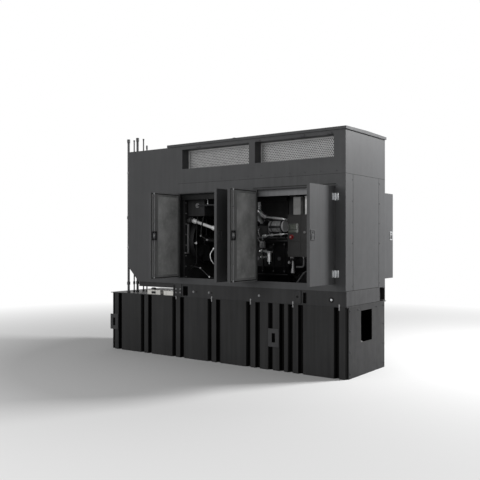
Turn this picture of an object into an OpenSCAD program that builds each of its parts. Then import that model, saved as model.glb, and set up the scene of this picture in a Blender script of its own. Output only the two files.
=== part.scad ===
// Diesel generator set: a sound enclosure with double doors on a skid base, over a ribbed fuel tank.
// Millimetres. +X points to the end with the cable window, the front with the open doors faces -Y, +Z is up.
// The origin is the centre of the tank's footprint, on the ground.

/* [Fuel tank] */
// Length of the tank along X
tank_l = 5340; // [5200:10:5500]
// Width of the tank over its ribs
tank_w = 1480; // [1440:10:1600]
// Height of the tank
tank_h = 1145; // [1110:5:1300]
// Thickness of the tank's plates
tank_plate = 12; // [8:1:16]
// How far the ribs and formed panels stand off the tank's side walls
relief = 60; // [40:5:80]
// Centre of the first rib from the tank's right end
first_rib = 84; // [74:2:94]
// Centre of the last rib from the tank's left end
last_rib = 170; // [160:2:200]
// Number of wide bays between ribs, at the right
wide_bays = 4; // [4:1:4]
// Number of narrow bays between ribs, at the left
narrow_bays = 2; // [2:1:2]
// Spacing of the ribs in the narrow bays
narrow_bay = 825; // [800:5:850]
// Width of a rib's face
rib_face = 100; // [80:2:110]
// Slope run of a rib's flanks
rib_flank = 18; // [10:2:24]
// Gap between the face of a rib and the face of a panel
groove = 100; // [90:2:110]
// Slope run of a formed panel's flanks
panel_flank = 40; // [20:5:45]
// Place of the extra rib in the second bay, as a share of the bay
lift_share = 0.445; // [0.43:0.005:0.46]
// Width of the extra rib's face
lift_rib_face = 130; // [110:2:136]
// Width of a lift plate
lift_w = 215; // [200:5:215]
// Height of a lift plate
lift_h = 305; // [280:5:340]
// Height of the middle of a lift plate above the ground
lift_z = 550; // [500:5:600]
// Thickness of a lift plate
lift_t = 16; // [12:1:20]
// Width of a lift plate's slot
lift_slot_w = 70; // [60:2:80]
// Height of a lift plate's slot
lift_slot_h = 160; // [140:5:180]

/* [Cable window] */
// Depth of the open bay behind the stub-up panel
stub_bay = 620; // [560:10:700]
// Set-back of the stub-up panel from the tank's front and rear faces
stub_margin = 66; // [60:2:80]
// Width of the window
window_w = 415; // [380:5:450]
// Height of the window
window_h = 515; // [480:5:530]
// Height of the window's sill above the ground
window_z = 535; // [500:5:550]
// Offset of the window towards the front
window_off = 35; // [20:5:50]

/* [Skid base] */
// Height of the skid rails
skid_h = 239; // [220:1:260]
// How far the skid rails run past the left doorway
skid_past = 90; // [80:2:100]
// Width of the rails' flanges
flange_w = 90; // [80:5:110]
// Thickness of the rails' flanges
flange_t = 16; // [12:1:20]
// Thickness of the rails' web
web_t = 14; // [10:1:18]
// Middle of the right slot from the enclosure's right end
slot_right = 744; // [730:2:750]
// Width of the right slot
slot_right_w = 66; // [60:2:74]
// Middle of the left slot from the enclosure's right end
slot_left = 3317; // [3300:1:3330]
// Width of the left slot
slot_left_w = 118; // [100:2:130]
// Height of the rail above its slots
slot_head = 45; // [35:1:60]
// Middle of the lifting eye from the enclosure's right end
eye_s = 872; // [860:2:890]
// Diameter of the lifting eye's hole
eye_d = 44; // [36:1:50]
// Difference in diameter between the eye's hole and the hole in the rail behind it
eye_clear = 12; // [8:1:16]
// Width of the lifting eye's plate
eye_plate_w = 124; // [110:2:130]
// Height of the lifting eye's plate
eye_plate_h = 206; // [180:2:214]
// Thickness of the lifting eye's plate
eye_plate_t = 16; // [12:1:20]
// Width of the plate that closes the skid's right end
end_plate_w = 1224; // [1180:4:1260]
// Number of crossmembers between the rails
cross_count = 6; // [6:1:6]
// Width of a crossmember
cross_w = 100; // [90:2:120]
// Height of the frame bars under the discharge hood
hood_sill_h = 90; // [70:5:110]
// Width of the frame bars under the discharge hood
hood_sill_w = 60; // [50:5:70]
// Set-back of the frame bars under the discharge hood
hood_sill_in = 20; // [10:5:30]

/* [Enclosure] */
// How far the tank reaches past the enclosure's right end
end_step = 20; // [16:1:30]
// How far the tank reaches past the enclosure's left end
left_step = 507; // [480:5:540]
// Thickness of the walls
wall_t = 40; // [36:1:44]
// Height of the section above the joint of the walls
upper_h = 695; // [660:5:760]
// Thickness of the roof cap
cap_t = 45; // [35:1:55]
// Rise of the roof cap's middle, to shed water
cap_crown = 12; // [6:1:20]
// Overhang of the roof cap
cap_over = 20; // [12:1:30]
// How far the roof cap reaches past the doors, over the hood
cap_past = 249; // [220:1:280]
// Size of the sloped corner at the hood's lower left edge
hood_slope = 280; // [250:5:310]
// Width of the corner pieces of the right end wall
corner_w = 255; // [230:5:280]
// Width of the seam grooves between the wall's panels
seam = 5; // [3:1:8]

/* [Vents] */
// Right edge of the right vent from the enclosure's right end
vent_margin = 208; // [190:2:220]
// How much narrower a vent is than a doorway
vent_less = 35; // [30:1:50]
// Width of the post between the vents
vent_post = 126; // [110:2:140]
// Height of the vents
vent_h = 360; // [330:5:380]
// Height of the wall above the vents
vent_top = 65; // [55:1:80]
// Depth of the vents' recess behind the wall's outer face
vent_depth = 190; // [150:5:220]
// Thickness of the recess's lining
vent_liner = 10; // [6:1:14]
// Thickness of the vent screens
screen_t = 4; // [3:1:8]
// Spacing of the bars of the hood's grille
grille_pitch = 80; // [70:5:100]
// Height of the bars of the hood's grille
grille_bar_h = 40; // [30:5:60]
// Thickness of the bars of the hood's grille
grille_bar_t = 6; // [5:1:10]

/* [Doors] */
// Width of the wall right of the doors
right_margin = 180; // [170:2:200]
// Width of a doorway
door_w = 1565; // [1540:5:1590]
// Width of the post between the doorways
centre_post = 200; // [190:2:230]
// Height of the sill under the doors
sill_h = 112; // [90:2:130]
// Height of a doorway
door_h = 1561; // [1520:1:1600]
// Height of the wall above a doorway, up to the joint of the walls
header_h = 198; // [180:2:220]
// Depth of the header's inner flange
header_flange = 80; // [74:1:90]
// Drop of the header's inner lip below the doorway's top
header_lip = 105; // [90:5:120]
// Thickness of the header's inner lip
lip_t = 30; // [24:1:40]
// Thickness of a door leaf
leaf_t = 50; // [46:1:54]
// Gap round a door leaf
leaf_gap = 5; // [5:1:8]
// Half the gap between two closed leaves
meet_gap = 9; // [6:1:12]
// How far the hinge line stands off the wall
hinge_off = 12; // [12:1:15]
// Radius of the hinge barrels
barrel_r = 9; // [8:1:10]
// Height of a whole hinge
hinge_h = 122; // [100:2:140]
// Width of a hinge plate
hinge_w = 42; // [36:1:50]
// Thickness of the hinge plates
hinge_t = 6; // [5:1:8]
// Axial play between the two halves of a hinge
hinge_play = 0.3; // [0.2:0.1:1]
// Distance of the hinges from the leaf's top and bottom
hinge_inset = 102; // [90:2:130]
// Width of the rim round the liner on the inside of a leaf
rim_w = 40; // [30:2:44]
// Width of the rim that carries the latch
latch_rim = 150; // [146:2:166]
// Depth of the liner below the rim
rim_d = 8; // [5:1:12]
// Distance of the latch line from the leaf's free edge
latch_in = 85; // [80:1:88]
// Width of the latch's mounting strip
strip_w = 80; // [70:2:90]
// Thickness of the latch's mounting strip
strip_t = 4; // [3:1:6]
// Diameter of the latch rods
rod_d = 12; // [8:1:14]
// Height of the paddle latch
paddle_h = 160; // [140:5:180]
// Width of the paddle latch
paddle_w = 116; // [106:2:120]
// Depth of the paddle latch
paddle_t = 20; // [16:1:20]
// Thickness of the handle plate on the outer face
handle_t = 8; // [6:1:10]
// Diameter of the latch rods' rollers
roller_d = 32; // [28:1:40]
// Distance of the rollers from the leaf's top and bottom
roller_in = 24; // [22:1:40]

/* [Tank top fittings] */
// Gap between the skid rails and the gauge box
box_clear = 55; // [45:1:65]
// Length of the gauge box as a share of the space between the skid and the vent pipes
gauge_share = 0.19; // [0.18:0.005:0.2]
// Gap between the two boxes as a share of that space
between_share = 0.067; // [0.05:0.001:0.08]
// Length of the fill box as a share of that space
fill_share = 0.254; // [0.24:0.002:0.27]
// Height of both boxes without their lids
box_h = 76; // [60:2:90]
// Depth of both boxes
box_w = 240; // [210:5:280]
// Set-back of both boxes from the tank's front face
box_in = 45; // [35:1:60]
// Thickness of the boxes' lids
lid_t = 10; // [6:1:14]
// Overhang of the boxes' lids
lid_over = 8; // [5:1:12]
// Height of the cap on the fill box
fill_cap_h = 34; // [26:1:40]
// Distance of the vent pipes from the enclosure's left end
pipe_off = 107; // [90:1:130]
// Rise of the vent pipes above the enclosure's walls
pipe_rise = 280; // [220:5:340]
// Step between the tops of the vent pipes
pipe_step = 62; // [40:2:80]
// Diameter of the large vent pipes
pipe_d = 48; // [42:1:54]
// Diameter of the small vent pipes
small_pipe_d = 27; // [22:1:32]
// Diameter of the caps on the vent pipes
pipe_cap_d = 64; // [58:1:72]
// Height of the caps on the vent pipes
pipe_cap_h = 60; // [46:2:70]

/* [Machinery] */
// Right end of the engine from the enclosure's right end
engine_s = 1310; // [1290:5:1330]
// Space for the fan between the radiator and the engine
fan_room = 650; // [630:5:670]
// Width of the engine block
engine_w = 660; // [620:10:680]
// Width of the cylinder head
head_w = 500; // [460:10:520]
// Height of the engine block
block_h = 640; // [600:10:680]
// Height of the sump
sump_h = 190; // [170:5:210]
// Height of the cylinder head
head_h = 240; // [220:5:260]
// Height of the rocker covers on the head
cover_h = 90; // [70:5:110]
// Number of rocker covers
cover_count = 6; // [6:1:6]
// Gap between the rocker covers
cover_gap = 34; // [24:2:44]
// Right end of the alternator from the enclosure's right end
alternator_s = 330; // [300:10:360]
// Diameter of the alternator
alternator_d = 600; // [560:10:620]
// Length of the alternator's end bell
bell_l = 120; // [90:5:150]
// Height of the alternator's terminal box above its body
terminal_h = 130; // [100:5:160]
// How far the radiator's right face stands inside the left doorway
radiator_in = 50; // [40:2:60]
// Thickness of the radiator core
core_t = 134; // [120:2:138]
// Gap between the radiator frame and the tank's front and rear planes
radiator_clear = 140; // [130:2:160]
// Height of the radiator frame
radiator_h = 1650; // [1600:10:1700]
// Width of the bars of the radiator frame
radiator_bar = 60; // [50:2:70]
// Length of the header tank beside the radiator
header_tank_l = 420; // [390:5:440]
// Width of the header tank
header_tank_w = 280; // [250:5:300]
// Height of the header tank
header_tank_h = 320; // [300:5:330]
// Diameter of the charge air pipe
charge_d = 60; // [52:1:66]
// Distance of the charge air pipe from the radiator frame's side bar
charge_in = 100; // [90:2:110]
// Height of the charge air pipe's outer end above the walls' foot
charge_high = 1190; // [1180:2:1200]
// Height of the charge air pipe's inner end above the walls' foot
charge_low = 966; // [950:2:990]
// Length of the hose on the charge air pipe's outer end
hose_l = 130; // [110:5:140]
// Diameter of the hose on the charge air pipe's outer end
hose_d = 76; // [70:1:78]
// Diameter of the coolant pipe
coolant_d = 70; // [60:1:80]
// Gap between the coolant pipe and the header tank
coolant_gap = 45; // [35:1:55]
// Height of the coolant pipe above the walls' foot
coolant_up = 1450; // [1430:5:1470]
// Length of the air cleaner
cleaner_l = 300; // [280:5:320]
// Diameter of the air cleaner
cleaner_d = 196; // [180:2:210]
// Gap between the air cleaner and the cylinder head
cleaner_gap = 30; // [20:1:40]
// Height of the air cleaner's middle above the head's foot
cleaner_up = 225; // [200:5:230]
// Diameter of the fuel filter
filter_d = 76; // [66:2:86]
// Height of the fuel filter
filter_h = 150; // [130:5:170]
// Distance of the fuel filter from the engine's right end
filter_in = 370; // [350:5:390]
// Clearance between the alternator and the control cabinet
cabinet_clear = 40; // [30:1:50]
// Left edge of the control cabinet from the enclosure's right end
cabinet_s = 1225; // [1215:5:1245]
// Width of the control cabinet
cabinet_w = 650; // [620:5:680]
// Height of the control cabinet
cabinet_h = 715; // [690:5:740]
// Depth of the control cabinet
cabinet_d = 150; // [140:2:160]
// Height of the cabinet's foot above the walls' foot
cabinet_up = 531; // [510:1:550]
// Width of the controller's bezel
bezel_w = 190; // [170:2:210]
// Height of the controller's bezel
bezel_h = 147; // [130:1:160]
// Thickness of the controller's bezel
bezel_t = 12; // [8:1:16]
// Distance of the bezel from the cabinet's left edge
bezel_in = 22; // [16:1:30]
// Height of the bezel's foot above the cabinet's foot
bezel_up = 414; // [400:2:430]
// Width of the charger box
charger_w = 140; // [120:2:160]
// Height of the charger box
charger_h = 300; // [280:2:320]
// Distance of the charger box from the cabinet's left edge
charger_in = 111; // [100:1:120]

/* [Hidden] */
$fn = 48;
// Sides of the slim round parts, which are drawn as prisms
slim_sides = 12;

// Paint colours
wall_grey = [0.27, 0.27, 0.28];
tank_black = [0.12, 0.12, 0.12];
skid_black = [0.14, 0.14, 0.14];
liner_grey = [0.42, 0.43, 0.43];
steel = [0.70, 0.71, 0.72];
cream = [0.85, 0.84, 0.80];
engine_dark = [0.10, 0.10, 0.11];

// Ends and levels
tank_x1 = tank_l / 2;
tank_x0 = -tank_l / 2;
half_w = tank_w / 2;
half_shell = half_w - relief;
encl_x1 = tank_x1 - end_step;
encl_x0 = tank_x0 + left_step;
skid_z = tank_h;
encl_z = tank_h + skid_h;
door_z0 = encl_z + sill_h;
door_z1 = door_z0 + door_h;
seam_z = door_z1 + header_h;
encl_top = seam_z + upper_h;

// Centres of the ribs, measured from the tank's right end
narrow_start = tank_l - last_rib - narrow_bays * narrow_bay;
wide_bay = (narrow_start - first_rib) / wide_bays;
wide_ribs = [for (i = [0:wide_bays]) first_rib + i * wide_bay];
narrow_ribs = [for (i = [1:narrow_bays]) narrow_start + i * narrow_bay];
rib_places = concat(wide_ribs, narrow_ribs);
lift_rib = rib_places[1] + lift_share * wide_bay;

// Jambs of the doorways
door_2_right = encl_x1 - right_margin;
door_2_left = door_2_right - door_w;
door_1_right = door_2_left - centre_post;
door_1_left = door_1_right - door_w;
cap_x0 = door_1_left - cap_past;
skid_l = encl_x1 - door_1_left + skid_past;
leaf_w = door_w / 2 - leaf_gap - meet_gap;
leaf_z0 = door_z0 + leaf_gap;
leaf_h = door_h - 2 * leaf_gap;
hinge_levels = [leaf_z0 + hinge_inset, leaf_z0 + leaf_h - hinge_inset - hinge_h];
knuckle_h = (hinge_h - hinge_play) / 2;

// Space for the boxes on the tank, between the skid rails and the vent pipes
box_room = encl_x1 - skid_l - encl_x0 + pipe_off;
gauge_l = gauge_share * box_room;
gauge_s = skid_l + box_clear;
fill_l = fill_share * box_room;
fill_s = gauge_s + gauge_l + between_share * box_room;
fill_cap_d = fill_l / 4;

// A block between two corners
module block(low, high) {
    translate(low) cube(high - low);
}

// A round bar from one point to another
module bar(from, to, d) {
    run = to - from;
    translate(from)
        rotate([0, acos(run[2] / norm(run)), atan2(run[1], run[0])])
            cylinder(h = norm(run), d = d);
}

// A profile drawn across the width (Y, Z), drawn out along X from x0 to x1
module along_x(x0, x1) {
    translate([x0, 0, 0]) rotate([90, 0, 90]) linear_extrude(height = x1 - x0) children();
}

// A profile drawn along the length (X, Z), drawn out along Y from y0 to y1
module along_y(y0, y1) {
    translate([0, y1, 0]) rotate([90, 0, 0]) linear_extrude(height = y1 - y0) children();
}

// The same shape on the front and on the rear
module front_and_rear() {
    children();
    mirror([0, 1, 0]) children();
}

// A place along the tank, measured from its right end
function tank_x(s) = tank_x1 - s;

// A place along the enclosure, measured from its right end
function encl_x(s) = encl_x1 - s;

// Middle of a crossmember, counted from the right
function cross_x(i) = encl_x1 - cross_w - i * (skid_l - 2 * cross_w) / (cross_count - 1);

module tank_floor() {
    color(tank_black)
        block([tank_x0 + tank_plate, -half_shell + tank_plate, 0],
              [tank_x1 - stub_bay, half_shell - tank_plate, tank_plate]);
}

module tank_top() {
    color(tank_black)
        block([tank_x0, -half_w, tank_h - tank_plate], [tank_x1, half_w, tank_h]);
}

module tank_side_walls() {
    color(tank_black)
        front_and_rear()
            block([tank_x0, -half_shell, 0],
                  [tank_x1 - tank_plate, -half_shell + tank_plate, tank_h - tank_plate]);
}

module tank_left_end() {
    color(tank_black)
        block([tank_x0, -half_shell + tank_plate, 0],
              [tank_x0 + tank_plate, half_shell - tank_plate, tank_h - tank_plate]);
}

module tank_bulkhead() {
    color(tank_black)
        block([tank_x1 - stub_bay, -half_shell + tank_plate, 0],
              [tank_x1 - stub_bay + tank_plate, half_shell - tank_plate, tank_h - tank_plate]);
}

module stub_up_panel() {
    color(tank_black)
        difference() {
            block([tank_x1 - tank_plate, -half_w + stub_margin, 0],
                  [tank_x1, half_w - stub_margin, tank_h - tank_plate]);
            block([tank_x1 - 2 * tank_plate, -window_off - window_w / 2, window_z],
                  [tank_x1 + tank_plate, -window_off + window_w / 2, window_z + window_h]);
        }
}

// A raised strip with sloping flanks on the front wall, its face from s0 to s1
module raised_strip(s0, s1, flank) {
    outline = [
        [tank_x(s0) + flank, -half_shell],
        [tank_x(s1) - flank, -half_shell],
        [tank_x(s1), -half_w],
        [tank_x(s0), -half_w]
    ];
    linear_extrude(height = tank_h - tank_plate) polygon(outline);
}

// Formed panels between the ribs; the bay with the extra rib has two narrow ones
module tank_panels() {
    color(tank_black)
        front_and_rear()
            for (i = [0:len(rib_places) - 2]) {
                s0 = rib_places[i] + rib_face / 2 + groove;
                s1 = rib_places[i + 1] - rib_face / 2 - groove;
                if (i == 1) {
                    raised_strip(s0, lift_rib - lift_rib_face / 2 - groove, panel_flank);
                    raised_strip(lift_rib + lift_rib_face / 2 + groove, s1, panel_flank);
                } else {
                    raised_strip(s0, s1, panel_flank);
                }
            }
}

// Right edges of the two lift plates, each on the face of a rib
lift_starts = [lift_rib - lift_rib_face / 2, tank_l - last_rib - rib_face / 2];

module lift_slot(start) {
    middle = tank_x(start + lift_w / 2);
    block([middle - lift_slot_w / 2, -half_w - 2 * lift_t, lift_z - lift_slot_h / 2],
          [middle + lift_slot_w / 2, -half_shell - lift_t, lift_z + lift_slot_h / 2]);
}

module tank_ribs() {
    color(tank_black)
        front_and_rear()
            difference() {
                union() {
                    for (s = rib_places) raised_strip(s - rib_face / 2, s + rib_face / 2, rib_flank);
                    raised_strip(lift_rib - lift_rib_face / 2, lift_rib + lift_rib_face / 2, rib_flank);
                }
                for (start = lift_starts) lift_slot(start);
            }
}

module lift_plates() {
    color(tank_black)
        front_and_rear()
            for (start = lift_starts)
                difference() {
                    block([tank_x(start + lift_w), -half_w - lift_t, lift_z - lift_h / 2],
                          [tank_x(start), -half_w, lift_z + lift_h / 2]);
                    lift_slot(start);
                }
}

// A box on the tank's top with an overhanging lid, its right edge at s
module top_box(s, l) {
    x0 = encl_x(s + l);
    x1 = encl_x(s);
    y0 = -half_w + box_in;
    block([x0, y0, tank_h], [x1, y0 + box_w, tank_h + box_h]);
    block([x0 - lid_over, y0 - lid_over, tank_h + box_h],
          [x1 + lid_over, y0 + box_w + lid_over, tank_h + box_h + lid_t]);
}

// The cap stands at the left of the lid
module fill_box() {
    color(cream) {
        top_box(fill_s, fill_l);
        cap_x = encl_x(fill_s + fill_l - fill_cap_d);
        translate([cap_x, -half_w + box_in + fill_cap_d, tank_h + box_h + lid_t])
            cylinder(h = fill_cap_h, d = fill_cap_d, $fn = slim_sides);
    }
}

module gauge_box() {
    color(cream) top_box(gauge_s, gauge_l);
}

// Vent pipes: distance behind the front face, diameter, steps of the top above the lowest, capped or not
pipe_rows = [
    [109, pipe_d, 1, true],
    [265, small_pipe_d, 1, false],
    [361, pipe_d, 2, true],
    [532, small_pipe_d, 2, false],
    [632, small_pipe_d, 0, true]
];

// Each pipe stands on a flange; a cap is a cone over a wider ring
module vent_pipes() {
    low_top = encl_top + pipe_rise - pipe_step;
    color(engine_dark)
        for (row = pipe_rows) {
            h = low_top + row[2] * pipe_step - tank_h;
            translate([encl_x0 - pipe_off, -half_w + row[0], tank_h]) {
                cylinder(h = h, d = row[1], $fn = slim_sides);
                cylinder(h = tank_plate, d = row[1] + pipe_d / 2, $fn = slim_sides);
                if (row[3])
                    translate([0, 0, h - pipe_cap_h]) {
                        cylinder(h = pipe_cap_h / 2, d = pipe_cap_d, $fn = slim_sides);
                        translate([0, 0, pipe_cap_h / 2])
                            cylinder(h = pipe_cap_h / 2, d1 = pipe_cap_d, d2 = row[1], $fn = slim_sides);
                    }
            }
        }
}

module skid_slot(s, w) {
    block([encl_x(s + w / 2), -half_w - web_t, skid_z + flange_t],
          [encl_x(s - w / 2), -half_w + 2 * web_t, encl_z - slot_head]);
}

// Channel rails with their flanges inwards, slots for lifting and a hole behind each lifting eye
module skid_rails() {
    color(skid_black)
        front_and_rear()
            difference() {
                block([encl_x(skid_l), -half_w, skid_z], [encl_x1, -half_w + flange_w, encl_z]);
                block([encl_x(skid_l) - flange_w, -half_w + web_t, skid_z + flange_t],
                      [encl_x1 + flange_w, half_w, encl_z - flange_t]);
                skid_slot(slot_right, slot_right_w);
                skid_slot(slot_left, slot_left_w);
                translate([encl_x(eye_s), -half_w - web_t, (skid_z + encl_z) / 2])
                    rotate([-90, 0, 0]) cylinder(h = 3 * web_t, d = eye_d + eye_clear);
            }
}

module lifting_eyes() {
    middle = (skid_z + encl_z) / 2;
    color(skid_black)
        front_and_rear()
            difference() {
                block([encl_x(eye_s + eye_plate_w / 2), -half_w - eye_plate_t, middle - eye_plate_h / 2],
                      [encl_x(eye_s - eye_plate_w / 2), -half_w, middle + eye_plate_h / 2]);
                translate([encl_x(eye_s), -half_w - 2 * eye_plate_t, middle])
                    rotate([-90, 0, 0]) cylinder(h = 3 * eye_plate_t, d = eye_d);
            }
}

module skid_end_plate() {
    color(wall_grey)
        block([encl_x1, -half_w, skid_z], [encl_x1 + web_t, -half_w + end_plate_w, encl_z]);
}

module skid_crossmembers() {
    color(skid_black)
        for (i = [0:cross_count - 1])
            block([cross_x(i) - cross_w / 2, -half_w + flange_w, skid_z],
                  [cross_x(i) + cross_w / 2, half_w - flange_w, encl_z]);
}

module hood_sill() {
    color(skid_black)
        front_and_rear()
            block([encl_x0 + hood_slope, -half_w + hood_sill_in, encl_z - hood_sill_h],
                  [encl_x(skid_l), -half_w + hood_sill_in + hood_sill_w, encl_z]);
}

// Hood walls left of the doors, with a sloped corner at the lower left
module hood_side_walls() {
    color(wall_grey)
        front_and_rear()
            along_y(-half_w, -half_w + wall_t)
                polygon([
                    [encl_x0, encl_top],
                    [encl_x0, encl_z + hood_slope],
                    [encl_x0 + hood_slope, encl_z],
                    [door_1_left, encl_z],
                    [door_1_left, encl_top]
                ]);
}

module wall_piece(x0, x1, z0, z1) {
    block([x0, -half_w, z0], [x1, -half_w + wall_t, z1]);
}

module door_posts() {
    color(wall_grey)
        front_and_rear() {
            wall_piece(door_2_right, encl_x1, encl_z, seam_z);
            wall_piece(door_1_right, door_2_left, encl_z, seam_z);
        }
}

module door_sills() {
    color(wall_grey)
        front_and_rear() {
            wall_piece(door_2_left, door_2_right, encl_z, door_z0);
            wall_piece(door_1_left, door_1_right, encl_z, door_z0);
        }
}

// A header has an inner flange with a lip that hangs behind the closed leaves
module header(x0, x1) {
    y1 = -half_w + wall_t + header_flange;
    wall_piece(x0, x1, door_z1, seam_z);
    block([x0, -half_w + wall_t, door_z1], [x1, y1, door_z1 + lip_t]);
    block([x0, y1 - lip_t, door_z1 - header_lip], [x1, y1, door_z1]);
}

module door_headers() {
    color(wall_grey)
        front_and_rear() {
            header(door_2_left, door_2_right);
            header(door_1_left, door_1_right);
        }
}

// Right edges of the two vents and their common size
vent_w = door_w - vent_less;
vent_edges = [encl_x(vent_margin), encl_x(vent_margin + vent_w + vent_post)];
vent_z1 = encl_top - vent_top;
vent_z0 = vent_z1 - vent_h;

module upper_walls() {
    color(wall_grey)
        front_and_rear()
            difference() {
                union() {
                    wall_piece(door_1_left, encl_x1, seam_z, encl_top);
                    for (x1 = vent_edges)
                        block([x1 - vent_w - vent_liner, -half_w, vent_z0 - vent_liner],
                              [x1 + vent_liner, -half_w + vent_depth, vent_z1 + vent_liner]);
                }
                for (x1 = vent_edges)
                    block([x1 - vent_w, -half_w - wall_t, vent_z0], [x1, half_w, vent_z1]);
            }
}

module vent_screens() {
    color(liner_grey)
        front_and_rear()
            for (x1 = vent_edges)
                block([x1 - vent_w, -half_w + vent_depth - screen_t, vent_z0],
                      [x1, -half_w + vent_depth, vent_z1]);
}

module right_end_corners() {
    color(wall_grey)
        front_and_rear()
            block([encl_x1 - wall_t, -half_w + wall_t, encl_z], [encl_x1, -half_w + corner_w, seam_z]);
}

// The centre panel lies in a groove that shows as a seam all round
module right_end_panel() {
    color(wall_grey) {
        block([encl_x1 - wall_t, -half_w + corner_w, encl_z], [encl_x1 - seam, half_w - corner_w, seam_z]);
        block([encl_x1 - seam, -half_w + corner_w + seam, encl_z],
              [encl_x1, half_w - corner_w - seam, seam_z - seam]);
    }
}

module right_end_upper() {
    color(wall_grey)
        block([encl_x1 - wall_t, -half_w + wall_t, seam_z], [encl_x1, half_w - wall_t, encl_top]);
}

// One bent plate: the hood's end, the sloped corner and the hood's floor
module left_end_wall() {
    bend = wall_t * tan(22.5);
    color(wall_grey)
        along_y(-half_w + wall_t, half_w - wall_t)
            polygon([
                [encl_x0, encl_top],
                [encl_x0, encl_z + hood_slope],
                [encl_x0 + hood_slope, encl_z],
                [encl_x(skid_l), encl_z],
                [encl_x(skid_l), encl_z + wall_t],
                [encl_x0 + hood_slope + bend, encl_z + wall_t],
                [encl_x0 + wall_t, encl_z + hood_slope + bend],
                [encl_x0 + wall_t, encl_top]
            ]);
}

// The roof is slightly crowned
module roof_cap() {
    edge = half_w + cap_over;
    color(wall_grey)
        along_x(cap_x0, encl_x1 + cap_over)
            polygon([
                [-edge, encl_top],
                [edge, encl_top],
                [edge, encl_top + cap_t],
                [0, encl_top + cap_t + cap_crown],
                [-edge, encl_top + cap_t]
            ]);
}

module hood_grille() {
    first = encl_x0 + wall_t + grille_pitch / 2;
    color(wall_grey)
        for (x = [first:grille_pitch:cap_x0 - grille_bar_t])
            block([x, -half_w + wall_t, encl_top - grille_bar_h],
                  [x + grille_bar_t, half_w - wall_t, encl_top]);
}

// Half of each hinge that stays on the wall, for a leaf whose hinge line is at the origin
module wall_hinge() {
    for (z = hinge_levels)
        translate([0, 0, z]) {
            cylinder(h = knuckle_h, r = barrel_r, $fn = slim_sides);
            block([-hinge_w, hinge_off - hinge_t, 0], [0, hinge_off, knuckle_h]);
        }
}

// Half of each hinge that turns with the leaf
module leaf_hinge() {
    for (z = hinge_levels)
        translate([0, 0, z + knuckle_h + hinge_play]) {
            cylinder(h = knuckle_h, r = barrel_r, $fn = slim_sides);
            block([0, hinge_off - hinge_t, 0], [hinge_w + leaf_gap, hinge_off, knuckle_h]);
        }
}

// A door leaf, closed, with its hinge line at the origin and its free edge towards +X
module leaf() {
    difference() {
        block([leaf_gap, hinge_off, leaf_z0], [leaf_gap + leaf_w, hinge_off + leaf_t, leaf_z0 + leaf_h]);
        block([leaf_gap + rim_w, hinge_off + leaf_t - rim_d, leaf_z0 + rim_w],
              [leaf_gap + leaf_w - latch_rim, hinge_off + 2 * leaf_t, leaf_z0 + leaf_h - rim_w]);
    }
    leaf_hinge();
}

// The latch of a closed leaf: strip, paddle, rods and rollers inside, handle outside
module latch() {
    x = leaf_gap + leaf_w - latch_in;
    y = hinge_off + leaf_t;
    middle = leaf_z0 + leaf_h / 2;
    ends = [leaf_z0 + roller_in, leaf_z0 + leaf_h - roller_in];
    block([x - strip_w / 2, y, ends[0]], [x + strip_w / 2, y + strip_t, ends[1]]);
    translate([x, y + strip_t + rod_d / 2, ends[0]])
        cylinder(h = ends[1] - ends[0], d = rod_d, $fn = slim_sides);
    block([x - rod_d / 2, y, ends[0]], [x + rod_d / 2, y + strip_t + rod_d / 2, ends[1]]);
    block([x - paddle_w / 2, y, middle - paddle_h / 2],
          [x + paddle_w / 2, y + paddle_t, middle + paddle_h / 2]);
    for (z = ends)
        translate([x, y, z]) rotate([-90, 0, 0]) cylinder(h = paddle_t, d = roller_d, $fn = slim_sides);
    block([x - paddle_w / 2, hinge_off - handle_t, middle - paddle_h / 2],
          [x + paddle_w / 2, hinge_off, middle + paddle_h / 2]);
}

// Places a closed leaf's shape on the front wall, hinged at a left or a right jamb
module at_left_jamb(x) {
    translate([x, -half_w - hinge_off, 0]) children();
}

module at_right_jamb(x) {
    translate([x, -half_w - hinge_off, 0]) mirror([1, 0, 0]) children();
}

// Turns a closed leaf out to a right angle with the wall
module opened() {
    rotate([0, 0, -90]) children();
}

module hinge_plates() {
    color(wall_grey)
        front_and_rear() {
            at_left_jamb(door_1_left) wall_hinge();
            at_right_jamb(door_1_right) wall_hinge();
            at_left_jamb(door_2_left) wall_hinge();
            at_right_jamb(door_2_right) wall_hinge();
        }
}

// The three hidden leaves on the rear
module rear_closed() {
    mirror([0, 1, 0]) {
        at_left_jamb(door_1_left) children();
        at_right_jamb(door_1_right) children();
        at_left_jamb(door_2_left) children();
    }
}

module rear_closed_doors() {
    color(wall_grey) rear_closed() leaf();
}

module rear_closed_latches() {
    color(steel) rear_closed() latch();
}

module front_door_1_left() {
    color(wall_grey) at_left_jamb(door_1_left) opened() leaf();
}

module front_door_1_left_latch() {
    color(steel) at_left_jamb(door_1_left) opened() latch();
}

module front_door_1_right() {
    color(wall_grey) at_right_jamb(door_1_right) opened() leaf();
}

module front_door_1_right_latch() {
    color(steel) at_right_jamb(door_1_right) opened() latch();
}

module front_door_2_left() {
    color(wall_grey) at_left_jamb(door_2_left) opened() leaf();
}

module front_door_2_left_latch() {
    color(steel) at_left_jamb(door_2_left) opened() latch();
}

module front_door_2_right() {
    color(wall_grey) at_right_jamb(door_2_right) opened() leaf();
}

module front_door_2_right_latch() {
    color(steel) at_right_jamb(door_2_right) opened() latch();
}

module rear_door_2_right() {
    color(wall_grey) mirror([0, 1, 0]) at_right_jamb(door_2_right) opened() leaf();
}

module rear_door_2_right_latch() {
    color(steel) mirror([0, 1, 0]) at_right_jamb(door_2_right) opened() latch();
}

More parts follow.
